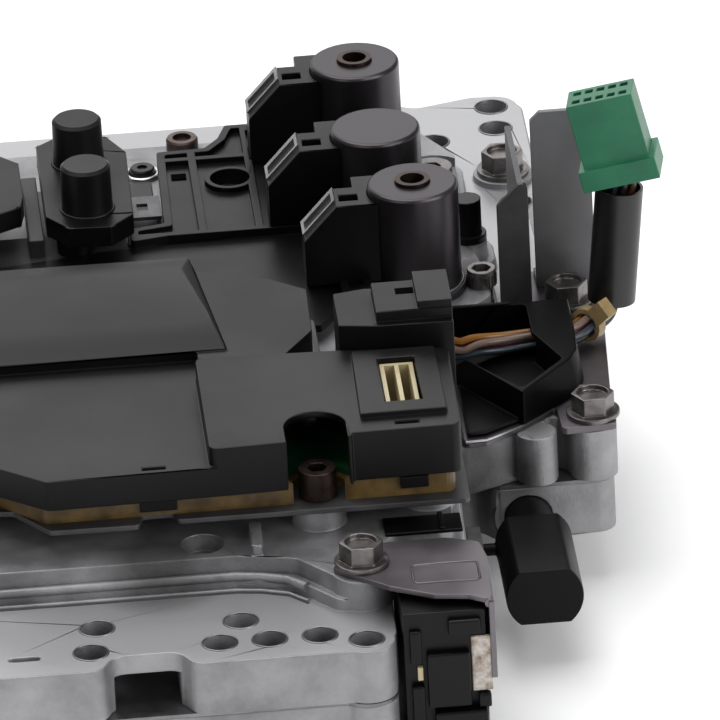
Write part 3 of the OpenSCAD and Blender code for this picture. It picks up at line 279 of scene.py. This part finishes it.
def cast_aluminium(name, dark, light):
    material = surface(name, dark, light, (0.42, 0.62), metal=0.75, patch_mm=22, grain_mm=0.8,
                       grain_depth_mm=0.1)
    tree = material.node_tree
    shader = tree.nodes["Principled BSDF"]
    facing = add_node(tree, "ShaderNodeSeparateXYZ",
                      {"Vector": add_node(tree, "ShaderNodeNewGeometry").outputs["True Normal"]})
    place = add_node(tree, "ShaderNodeTexCoord").outputs["Object"]
    height = add_node(tree, "ShaderNodeSeparateXYZ", {"Vector": place})
    flat = add_node(tree, "ShaderNodeMath", {0: facing.outputs["Z"], 1: 0.98}, operation="GREATER_THAN")
    reached = add_node(tree, "ShaderNodeMath", {0: height.outputs["Z"], 1: FLANGE * MM, 2: 0.2 * MM},
                       operation="COMPARE")
    milled = add_node(tree, "ShaderNodeMath", {0: flat.outputs[0], 1: reached.outputs[0]},
                      operation="MULTIPLY").outputs[0]
    arcs_from = add_node(tree, "ShaderNodeMapping", {"Vector": place, "Location": (0.09, 0.02, 0)})
    arcs = add_node(tree, "ShaderNodeTexWave",
                    {"Vector": arcs_from.outputs["Vector"], "Scale": 620, "Distortion": 2.0, "Detail": 3,
                     "Detail Scale": 6},
                    wave_type="RINGS", rings_direction="Z")
    bright = add_node(tree, "ShaderNodeMix", data_type="RGBA")
    bright.inputs[6].default_value, bright.inputs[7].default_value = linear("#a0a0a2"), linear("#b0b0b2")
    tree.links.new(arcs.outputs["Fac"], bright.inputs["Factor"])
    tone = add_node(tree, "ShaderNodeMix", data_type="RGBA")
    tree.links.new(milled, tone.inputs["Factor"])
    tree.links.new(shader.inputs["Base Color"].links[0].from_socket, tone.inputs[6])
    tree.links.new(bright.outputs[2], tone.inputs[7])
    shade_factor = None
    # Each spot paints shade into the cast tone, darkest at its middle
    for x, y, z, reach in SHADE_SPOTS:
        away = add_node(tree, "ShaderNodeVectorMath", {0: place, 1: Vector((x, y, z)) * MM},
                        operation="DISTANCE")
        spot_shade = add_node(tree, "ShaderNodeMapRange",
                       {"Value": away.outputs["Value"], "From Min": 0.35 * reach * MM,
                        "From Max": reach * MM, "To Min": 0.3, "To Max": 1.0})
        shade_factor = spot_shade.outputs["Result"] if shade_factor is None else add_node(
            tree, "ShaderNodeMath", {0: shade_factor, 1: spot_shade.outputs["Result"]}, operation="MULTIPLY").outputs[0]
    shaded_tone = add_node(tree, "ShaderNodeVectorMath", {0: tone.outputs[2], "Scale": shade_factor}, operation="SCALE")
    tree.links.new(shaded_tone.outputs[0], shader.inputs["Base Color"])
    smooth = add_node(tree, "ShaderNodeMix", {"B": 0.42})
    tree.links.new(milled, smooth.inputs["Factor"])
    tree.links.new(shader.inputs["Roughness"].links[0].from_socket, smooth.inputs["A"])
    tree.links.new(smooth.outputs["Result"], shader.inputs["Roughness"])
    grain = shader.inputs["Normal"].links[0].from_node
    calm = add_node(tree, "ShaderNodeMapRange", {"Value": milled, "To Min": 1.0, "To Max": 0.12})
    tree.links.new(calm.outputs["Result"], grain.inputs["Strength"])
    return material


# Each finish is named for what the real part is made of and how it was worked.
finishes = {
    # Sandy die-cast skin with a milled flange: the bright frame round the black module
    "castings": cast_aluminium("die_cast_aluminium", "#78787a", "#a0a0a2"),
    # Rolled separator sheet: a thin plain line between the castings
    "plates": surface("rolled_steel_sheet", "#6e6e70", "#8c8c8e", (0.35, 0.5), 1.0),
    # Satin sheet of the support plate and the bracket: soft blurred reflections
    "support_steel": surface("satin_steel_sheet", "#5e5a5e", "#726e72", (0.36, 0.5), 0.9, patch_mm=30),
    # Darker rolled sheet that stands upright at the rear
    "shield_steel": surface("dark_rolled_sheet", "#6c6c6e", "#7e7e80", (0.42, 0.56), 0.8, patch_mm=30),
    # Grey sheet under the module, seen as a thin lit edge
    "heat_plate": surface("grey_aluminium_sheet", "#4c4c4e", "#5c5c5e", (0.42, 0.58), 0.9),
    # Moulded plastic of the module, lead frame and housings: near black, with a dull sheen from above
    "module_black": surface("module_plastic", "#050506", "#08080a", (0.34, 0.44), patch_mm=40, shine=0.2),
    # The caps' plastic, a shade lighter and duller
    "cap_black": surface("cap_plastic", "#09090a", "#0d0d0e", (0.38, 0.48), patch_mm=40, shine=0.25),
    # Amber base: the one warm band at the module's foot
    "amber_plastic": surface("amber_plastic", "#3a2c12", "#5c4720", (0.3, 0.45), patch_mm=6),
    # Coated board: a green glimpse in the notch round the module screw
    "board_green": surface("coated_board", "#174028", "#1f5232", (0.3, 0.4)),
    # Ivory plastic of the terminal block: the palest spot on the module
    "pale_plastic": surface("ivory_plastic", "#a39673", "#b5a988", (0.35, 0.45)),
    # Bright tinned spring sheet of the terminals: thin white outlines on black
    "bright_tin": surface("tinned_spring_sheet", "#a8a8a8", "#c8c8c8", (0.22, 0.34), 1.0),
    # Plated solenoid cans: grey with a soft gloss
    "solenoid_steel": surface("plated_can_steel", "#3a373a", "#454245", (0.3, 0.38), 0.9, patch_mm=30),
    # Copper-brown of the coils and the bushes: the warm rings in two of the cans' tops
    "copper": surface("worn_copper", "#2b211d", "#483833", (0.32, 0.45), 0.9, patch_mm=3),
    # Satin black of the connectors and the switch
    "connector_black": surface("connector_plastic", "#040405", "#070708", (0.32, 0.42), patch_mm=30,
                               shine=0.2),
    # Ground steel of the spools, plungers, cores and plugs: clean and bright, as oil keeps it
    "turned_steel": surface("ground_steel", "#7a7a7c", "#8e8e90", (0.25, 0.35), 1.0),
    # Drawn spring wire: thin bright turns
    "spring_steel": surface("drawn_spring_wire", "#8a8a8c", "#a0a0a2", (0.25, 0.35), 1.0),
    # Blackened steel of the stud and the rear plug: deep black with a hard glint
    "black_steel": surface("blackened_steel", "#0a0a0b", "#0f0f10", (0.3, 0.4), 0.2, shine=0.3),
    # Soft black sleeve over the wires
    "sleeve_black": surface("sleeve_plastic", "#0a0a0b", "#0e0e0f", (0.3, 0.4)),
    # Green housing of the plug, the strongest colour of the part
    "green_plastic": surface("green_plastic", "#175c40", "#1f6a4b", (0.34, 0.44)),
    # Smooth insulation of the plain bundle that the six wires replace
    "wire_colours": surface("wire_insulation", "#b98a3a", "#c99744", (0.3, 0.4)),
    # Zinc-plated bolts, a little warm
    "bolt_steel": surface("plated_bolt_steel", "#5e5b5a", "#807c7a", (0.28, 0.42), 0.95, patch_mm=4),
    # Brown-plated screws of the module
    "screw_brown": surface("brown_plated_steel", "#251c19", "#3b2e28", (0.32, 0.45), 0.8, patch_mm=4),
}
finish_of_node = {name: finishes[slot_of_node[name]] for name in nodes}
# A few nodes look unlike the rest of their slot. The baffle's sheet is a darker grey
finish_of_node["baffle"] = surface("darker_baffle_sheet", "#474648", "#5d5c5e", (0.34, 0.46), 0.8, patch_mm=18)
# The guide is the deepest black of all, so that the wires stand out in it
finish_of_node["wire_guide"] = surface("guide_plastic", "#020202", "#030303", (0.4, 0.5), patch_mm=30,
                                       shine=0.08)
# The manual valve has a dull black coat, which shows its flats as plain greys
finish_of_node["manual_valve"] = surface("head_coating", "#050505", "#080808", (0.4, 0.5), patch_mm=30,
                                         shine=0.15)
# The slider is a clouded plastic, the stud is blackened, the earthing tab is dulled tin and the
# tie is nylon that has yellowed
finish_of_node["switch_slider"] = surface("clouded_plastic", "#4c4c4b", "#60605e", (0.35, 0.5), patch_mm=5)
finish_of_node["standoff"] = finishes["black_steel"]
finish_of_node["grounding_tab"] = surface("dulled_tin_sheet", "#48484a", "#6c6c6e", (0.35, 0.5), 0.9,
                                          patch_mm=4)
finish_of_node["cable_tie"] = surface("yellowed_nylon", "#75613f", "#8f7a54", (0.35, 0.5), patch_mm=5)
for name, node in nodes.items():
    node.data.materials.clear()
    node.data.materials.append(finish_of_node[name])
print(len(finishes), "finishes on", len(nodes), "solids")

# %% [markdown]
# A moulded or cast edge is never sharp: it carries a small radius that catches a thin line of
# light, and that line is what tells the eye that the part is real. A copy of a solid gets its
# edges rounded. Before that, one helper settles how light turns over such an edge: every flat
# region counts by its whole area, so a long thin triangle in it can't bend the light on the flat.
# %% Even normals
def even_normals(mesh):
    by_edge, by_vertex = {}, [[] for _ in mesh.vertices]
    for face in mesh.polygons:
        for key in face.edge_keys:
            by_edge.setdefault(key, []).append(face.index)
        for v in face.vertices:
            by_vertex[v].append(face.index)
    normals = [face.normal.copy() for face in mesh.polygons]
    region, areas = {}, []
    for seed in mesh.polygons:
        if seed.index in region:
            continue
        region[seed.index], pile, total = len(areas), [seed.index], 0
        while pile:
            face = mesh.polygons[pile.pop()]
            total += face.area
            for other in (i for key in face.edge_keys for i in by_edge[key]):
                if other not in region and normals[other].dot(normals[seed.index]) > 0.99996:
                    region[other] = len(areas)
                    pile.append(other)
        areas.append(total)
    corner_normals = []
    for face in mesh.polygons:
        for v in face.vertices:
            near = {region[i]: i for i in by_vertex[v] if normals[i].dot(normals[face.index]) > 0.77}
            leaning = sum((normals[i] * areas[r] for r, i in near.items()), Vector())
            corner_normals.append(leaning.normalized())
    mesh.normals_split_custom_set(corner_normals)


print("even_normals() ready")

# %% [markdown]
# With that, a copy can be rounded. The bevel is a modifier, because its width stays one number
# per piece, and the wide flat faces keep their own direction up to the rounding.
# %% Rounded edges
def rounded_copy(name, width_mm, steps=2, angle=28):
    source = nodes[name]
    work = bmesh.new()
    work.from_mesh(source.data)
    bmesh.ops.remove_doubles(work, verts=work.verts, dist=0.004 * MM)
    bmesh.ops.dissolve_limit(work, angle_limit=math.radians(0.4), verts=work.verts, edges=work.edges)
    bmesh.ops.triangulate(work, faces=[f for f in work.faces if len(f.verts) > 4], ngon_method="BEAUTY")
    mesh = bpy.data.meshes.new(name + "_edges")
    work.to_mesh(mesh)
    work.free()
    mesh.materials.append(finish_of_node[name])
    piece = bpy.data.objects.new(name + "_finished", mesh)
    bpy.context.scene.collection.objects.link(piece)
    bevel = piece.modifiers.new("edge", "BEVEL")
    bevel.width, bevel.segments, bevel.limit_method = width_mm * MM, steps, "ANGLE"
    bevel.angle_limit, bevel.use_clamp_overlap = math.radians(angle), False
    for polygon in mesh.polygons:
        polygon.use_smooth = True
    graph = bpy.context.evaluated_depsgraph_get()
    done = bpy.data.meshes.new_from_object(piece.evaluated_get(graph), preserve_all_data_layers=True,
                                           depsgraph=graph)
    piece.modifiers.clear()
    even_normals(done)
    piece.data = done
    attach(piece, body_of_node[name])
    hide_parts(name)
    return piece


edge_widths = {
    "upper_body": 0.5, "lower_body": 0.5, "bottom_cover": 0.5, "module_cover": 0.5, "harness_box": 0.4,
    "lead_frame": 0.25, "cap_housing_near": 0.5, "cap_housing_far": 0.5, "connector_near": 0.4,
    "connector_mid": 0.4, "connector_far": 0.4, "switch_housing": 0.4, "green_connector": 0.3,
    "manual_valve": 0.5, "shield_plate": 0.2, "wire_guide": 0.7, "support_plate": 0.25, "baffle": 0.2,
    "switch_bracket": 0.25, "heat_plate": 0.2, "flange_bolts": 0.35, "module_screws": 0.35, "standoff": 0.3,
    "terminal_block": 0.15, "can_near": 0.45, "can_mid": 0.45, "can_far": 0.45,
}
total = 0
for name, width in edge_widths.items():
    total += len(rounded_copy(name, width).data.polygons)
print(len(edge_widths), "pieces with rounded edges,", total, "faces")

# %% [markdown]
# A few fine forms are left to this file, because they are pressed, moulded or machined lines far
# thinner than the solids: the bead along the deck's wall with a small bead and a dark line of
# painted shade at its foot, the worn rims of the bolt holes, and the rings at the feet of the caps
# and the cans. All are the sweep tree again.
# %% Beads and rims
def circle(x, y, z, radius, count=40):
    return [Vector((x + radius * math.cos(2 * math.pi * k / count),
                    y + radius * math.sin(2 * math.pi * k / count), z)) * MM for k in range(count)]


def at_height(points, z):
    return [Vector((x, y, z)) * MM for x, y in points]


hole_places = [(-79.5, -143.8), (-81.9, -156.9), (-42.6, -145.6), (-48.8, -156.9), (-36, -156.9),
               (-23.1, -156.9), (-11.4, -161.1), (48.9, 151.9), (48.9, 137.9), (50.1, 89.9), (31, 132)]
HOLE_R, CAP_R, CAN_R = 4.5, 7.1, 12.5
CAP_FOOT, CAN_FOOT, BEAD_RISE = 71.1, 56.1, 3.0
swept("hole_rims", [circle(x, y, FLANGE, HOLE_R) for x, y in hole_places], 0.3, finishes["plates"],
      sides=8, closed=True)
bead_line = [(-136.5, -126), (-90, -126.3), (-42.5, -126.4), (-36, -127.6), (-29, -130.4), (-24.6, -135.4)]
swept("wall_bead", [at_height(bead_line, FLANGE + BEAD_RISE)], 1.4, finishes["castings"],
      sides=10)
foot_line = [(x, y - 2.2) for x, y in bead_line]
swept("foot_bead", [at_height(foot_line, FLANGE + 0.1)], 0.6, finishes["castings"], sides=10)
# Painted shade lies in the corner at the wall's foot and draws the bead's lower line
foot_shade_tone = surface("painted_foot_shade", "#2a2526", "#3c3435", (0.4, 0.6), 0.4)
foot_shade_line = [(x, y - 3.4) for x, y in bead_line]
swept("wall_foot_shade", [at_height(foot_shade_line, FLANGE - 0.15)], 0.45, foot_shade_tone, sides=8)
cap_places = [(-68.7, 81.4), (-68.2, 52.3), (-110, 80), (-110, 60)]
swept("cap_rings", [circle(x, y, CAP_FOOT, CAP_R) for x, y in cap_places], 0.45, finishes["cap_black"],
      sides=8, closed=True)
can_places = {"near": (17.8, 24.2), "mid": (10.8, 60.4), "far": (8.7, 103.5)}
swept("can_skirts", [circle(x, y, CAN_FOOT, CAN_R, 64) for x, y in can_places.values()], 0.4,
      finishes["plates"], sides=8, closed=True)
print("beads, grooves and", len(hole_places), "hole rims")

# %% [markdown]
# Inside, a spring closes each solenoid's plunger and another returns each spool. A spring is a
# wire on a helix with its ends wound close, so it is the sweep again, along a chain of points
# that climbs slowly at both ends.
# %% Springs
def helix(turns, free_mm, radius_mm, per_turn=20):
    chain = []
    for i in range(turns * per_turn + 1):
        share = i / (turns * per_turn)
        climb = share - 0.11 * math.sin(2 * math.pi * share)
        angle = 2 * math.pi * turns * share
        chain.append((radius_mm * math.cos(angle), radius_mm * math.sin(angle), free_mm * climb))
    return chain


SPRING_R, SPRING_WIRE, SPRING_GAP = 3.7, 0.36, 0.1
spool_places = {"left": (-95, 21.5), "mid": (-70, 21.5), "right": (-45, 21.5)}
# What the valves of each kind do, how far they go, where their springs begin and end, and the turns
spring_kinds = {"plunger": ("lift", 1.5, 63.5, 70.0, 5, can_places),
                "spool": ("slide", 5.0, 131.0, 145.0, 7, spool_places)}
for kind, (motion, travel, low, high, turns, places) in spring_kinds.items():
    coil = helix(turns, high - low - 2 * SPRING_WIRE - SPRING_GAP, SPRING_R)
    first = low + SPRING_WIRE + 0.8 * SPRING_GAP
    for side, (u, v) in places.items():
        if kind == "plunger":
            chain = [Vector((u + x, v + y, first + z)) * MM for x, y, z in coil]
        else:
            chain = [Vector((u + x, first + z, v - y)) * MM for x, y, z in coil]
        node = f"{kind}_spring_{side}"
        spring = swept(node + "_wound", [chain], SPRING_WIRE, finishes["spring_steel"],
                       sides=8)
        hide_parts(node)
        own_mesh(spring)
print(len(can_places) + len(spool_places), "wound springs")

# %% [markdown]
# The socket screw's round head carries a ring of small teeth. One tooth is a small block, and a
# second tree sets a copy at each of a ring's points, turned outwards. The alternative, a block
# written out for each tooth, would say the same thing two dozen times.
# %% Toothed head
tooth_tree, given = new_tree("teeth", [("Size", "NodeSocketVector"), ("Material", "NodeSocketMaterial")])
tooth = add_node(tooth_tree, "GeometryNodeMeshCube", {"Size": given["Size"]})
turn = add_node(tooth_tree, "GeometryNodeInputNamedAttribute", {"Name": "turn"}, data_type="FLOAT_VECTOR")
spots = add_node(tooth_tree, "GeometryNodeMeshToPoints", {"Mesh": given["Geometry"]})
copies = add_node(tooth_tree, "GeometryNodeInstanceOnPoints",
                  {"Points": spots.outputs[0], "Instance": tooth.outputs[0], "Rotation": turn.outputs[0]})
close_tree(tooth_tree, copies.outputs[0], given["Material"])


def toothed(name, places, z, radius, count, size_mm, material):
    points, turns = [], []
    for x, y in places:
        for k in range(count):
            angle = 2 * math.pi * k / count
            points.append(Vector((x + radius * math.cos(angle), y + radius * math.sin(angle), z)) * MM)
            turns += [0, 0, angle]
    mesh = bpy.data.meshes.new(name + "_spots")
    mesh.from_pydata(points, [], [])
    mesh.attributes.new("turn", "FLOAT_VECTOR", "POINT").data.foreach_set("vector", turns)
    mesh = grown(tooth_tree, mesh, {"Size": [s * MM for s in size_mm], "Material": material})
    return new_piece(name, mesh)


SCREW_PLACE, SCREW_MIDDLE, SCREW_R, TOOTH_SIZE = (35.1, 23), 55.4, 3.9, (0.4, 0.5, 3.2)
toothed("socket_screw_teeth", [SCREW_PLACE], SCREW_MIDDLE, SCREW_R, 24, TOOTH_SIZE,
        finishes["bolt_steel"])
print("teeth on the socket screw")

# %% [markdown]
# The last small pieces are blocks and turned pieces with softened edges. A block is written as its
# two corners in millimetres, and a turned piece as the radius and height of each point of its
# outline. Both could be CAD solids, but they are only a millimetre or two of surface detail.
# %% Blocks and turned pieces
def blocks(name, corners, material, edge_mm=0.35):
    work = bmesh.new()
    for low, high in corners:
        low, high = Vector(low) * MM, Vector(high) * MM
        bmesh.ops.create_cube(work, size=1, matrix=Matrix.Translation((low + high) / 2)
                              @ Matrix.Diagonal((*(high - low), 1)))
    bmesh.ops.bevel(work, geom=work.edges[:], offset=edge_mm * MM, segments=2, affect="EDGES", profile=0.5)
    bmesh.ops.recalc_face_normals(work, faces=work.faces)
    mesh = bpy.data.meshes.new(name)
    work.to_mesh(mesh)
    work.free()
    mesh.materials.append(material)
    return new_piece(name, mesh)


def turned(name, x, y, outline, material, slot, count=40):
    work = bmesh.new()
    rings = [[work.verts.new(Vector((x + r * math.cos(2 * math.pi * k / count),
                                     y + r * math.sin(2 * math.pi * k / count), z)) * MM)
              for k in range(count)] for r, z in outline]
    for low, high in zip(rings, rings[1:]):
        for k in range(count):
            work.faces.new((low[k], low[(k + 1) % count], high[(k + 1) % count], high[k]))
    work.faces.new(rings[0][::-1])
    work.faces.new(rings[-1])
    bmesh.ops.recalc_face_normals(work, faces=work.faces)
    mesh = bpy.data.meshes.new(name)
    work.to_mesh(mesh)
    work.free()
    mesh.materials.append(material)
    return new_piece(name, mesh)


print("blocks() and turned() ready")

# %% [markdown]
# Behind the module runs a shelf with a rib and two floor plates, painted lighter as sheen. The lead
# frame and the harness box have pockets whose bottoms are patches of painted shade. Two black tabs
# reach down over the amber base. The guide's rear wall goes on to the module's corner, and the
# support plate's sheared edge shows as one bright line under the guide.
# %% Module and guide
black = finishes["connector_black"]
# Painted sheen: this plastic is lighter than the module's, to stand in for light on the shelf's top
shelf_sheen = surface("shelf_painted_sheen", "#242425", "#303031", (0.4, 0.5), patch_mm=12, shine=0.3)
blocks("shelf_edge", [((-119.5, 38, 56.6), (-57.6, 63, 58.4)), ((-84.5, 50, 58.2), (-80.4, 90, 63.5)),
                      ((-84, 62, 53.4), (-57.6, 100, 54.4)), ((-57.2, 62, 53.4), (-48.6, 101, 54.3))],
       shelf_sheen, 0.3)
# Painted shade: a near black patch stands for a pocket's dark bottom, so it reads as a hole
pocket_shade = surface("unlit_depth", "#010101", "#020202", (0.85, 0.95), shine=0.02)
blocks("pocket_shade_patches", [((-44.6, 99.8, 59.4), (-42.0, 104.2, 59.8)),
                         ((-43.5, 89.5, 59.4), (-39.4, 93, 59.8)),
                         ((6.9, -54.2, 89.9), (13, -50.6, 90.06))], pocket_shade, 0.04)
blocks("guide_wing", [((24.2, 4.4, 46.6), (41, 5.8, 56.3))], finish_of_node["wire_guide"],
       0.4)
blocks("base_tabs", [((2, -114.7, 63.6), (9.5, -113.2, 66.9)),
                     ((-65.5, -114.7, 62.5), (-55.8, -113.2, 66.9))], black, 0.3)
plate_edge = [(23.4, -56.3), (29.0, -55.9), (33.8, -52.6), (38.4, -49.2), (43.6, -44.4), (48.4, -39.9)]
swept("support_edge", [at_height(plate_edge, 46.2)], 0.45, finishes["turned_steel"],
      sides=10)
print("shelf, pockets, guide wall, tabs and plate edge")

# %% [markdown]
# The range switch at the front corner is a moulded box with clips, a small chamber and a window
# with yellowed grease behind it. The bracket over it has a pressed panel, and a rounded fold where
# its right edge turns down.
# %% Switch and bracket
SWITCH_FRONT = -162.5
blocks("switch_lid", [((-3, -121.4, 53.3), (17.2, -112, 54.3)), ((11.2, -121.2, 54.2), (12.6, -112, 55))],
       black, 0.25)
swept("bracket_fold", [at_height([(20.3, -163.4), (20.9, -141)], 53.75)], 1.25, finishes["support_steel"],
      sides=16)
blocks("switch_chamber", [((3.5, -165.4, 25.5), (14.5, SWITCH_FRONT, 41)),
                          ((-0.7, -164.6, 38), (2.3, SWITCH_FRONT, 47.5)),
                          ((9.3, -164.8, 46), (17.7, SWITCH_FRONT, 50))], black, 0.5)
blocks("switch_clips", [((5, -166.6, 16.6), (18.5, SWITCH_FRONT, 24.6)),
                        ((-0.6, -165.2, 10), (2.6, SWITCH_FRONT, 32)),
                        ((16.4, -165.4, 24.9), (19.6, SWITCH_FRONT, 28.6))], black, 0.5)
# Old grease behind the window: pale, with brown stains
grease = surface("yellowed_grease", "#6d5a48", "#b9b3ac", (0.35, 0.6), patch_mm=2.5, grain_mm=0.8,
                 grain_depth_mm=0.2)
blocks("switch_window", [((15, -163.7, 29), (20.2, -162.6, 44.6))], grease, 0.3)
blocks("switch_contact", [((1.0, -164.3, 33.4), (2.4, SWITCH_FRONT, 37.2))], finishes["pale_plastic"],
       0.2)
panel_line = [(3, -141.5), (18, -141.5), (19, -142.5), (19, -151), (18, -152), (3, -152), (2, -151),
              (2, -142.5)]
swept("bracket_panel", [at_height(panel_line, 55.0)], 0.35, finishes["support_steel"],
      sides=8, closed=True)
print("switch details, bracket panel and fold")

# %% [markdown]
# Behind the near caps stand a bronze bush and a black plug with a bright ring round its foot. Both
# came off a lathe, so each is an outline turned about its own axis.
# %% Rear bush and plug
BUSH_PLACE, PLUG_PLACE = (-38.6, 122.5), (-50.6, 107)
# Bronze that oil has browned, with a worn pale edge
bronze = surface("dull_bronze", "#3b302d", "#6a5a55", (0.3, 0.45), 0.9, patch_mm=3)
turned("rear_bush", *BUSH_PLACE, ((4.4, 53.4), (4.4, 56.3), (4.0, 56.8), (2.6, 56.8), (2.6, 55.6)), bronze,
       "copper")
turned("rear_plug", *PLUG_PLACE, ((3.4, 53.4), (3.4, 55.6), (3.0, 56.0), (1.4, 56.0), (1.4, 55.4)),
       finishes["black_steel"], "black_steel")
swept("rear_plug_ring", [circle(*PLUG_PLACE, 53.9, 4.3)], 0.8, finishes["bright_tin"],
      sides=10, closed=True)
print("bush, plug and ring")

# %% [markdown]
# The part stands on a plain pale sheet under soft light, as for a catalogue picture: a wide soft
# box overhead, a weaker one behind that lies in the tops of the plastic, a narrow one at the right
# that draws the upright gleam on the cans, and two in front that keep the near sides from black.
# %% Floor and light
FLOOR_HALF = 6
corners = [(x * FLOOR_HALF, y * FLOOR_HALF, 0) for x, y in ((-1, -1), (1, -1), (1, 1), (-1, 1))]
floor_mesh = bpy.data.meshes.new("floor")
floor_mesh.from_pydata(corners, [], [(0, 1, 2, 3)])
floor = bpy.data.objects.new("floor", floor_mesh)
bpy.context.scene.collection.objects.link(floor)
floor.location.z = -0.5 * MM
# Matt paper: white enough to vanish, dark enough to keep a shadow under the part
floor_mesh.materials.append(surface("pale_paper", "#fbfbfb", "#fcfcfc", (0.8, 0.9), patch_mm=900,
                                    grain_depth_mm=0.0))
world = bpy.data.worlds.new("studio")
bpy.context.scene.world = world
world.use_nodes = True
world.node_tree.nodes["Background"].inputs["Color"].default_value = (1, 1, 1, 1)
world.node_tree.nodes["Background"].inputs["Strength"].default_value = 0.3


def soft_box(name, place, size, watts):
    lamp = bpy.data.lights.new(name, "AREA")
    lamp.shape, lamp.size, lamp.size_y, lamp.energy = "RECTANGLE", size[0], size[1], watts
    lamp_object = bpy.data.objects.new(name, lamp)
    bpy.context.scene.collection.objects.link(lamp_object)
    lamp_object.location = place
    lamp_object.rotation_euler = (AIM - Vector(place)).to_track_quat("-Z", "Y").to_euler()


soft_box("overhead", (-0.3, 0.3, 1.6), (1.6, 1.6), 27)
soft_box("back_sheet", (-0.3, 2.0, 1.1), (2.4, 1.0), 12)
soft_box("right_strip", (1.3, -0.7, 0.8), (0.3, 1.2), 5)
soft_box("right_fill", (1.5, -1.7, 1.1), (1.6, 1.4), 28)
soft_box("front_fill", (-1.5, -1.8, 0.9), (1.4, 1.0), 8)
bpy.context.scene.view_settings.view_transform = "Standard"
print("floor, sky and five soft boxes")
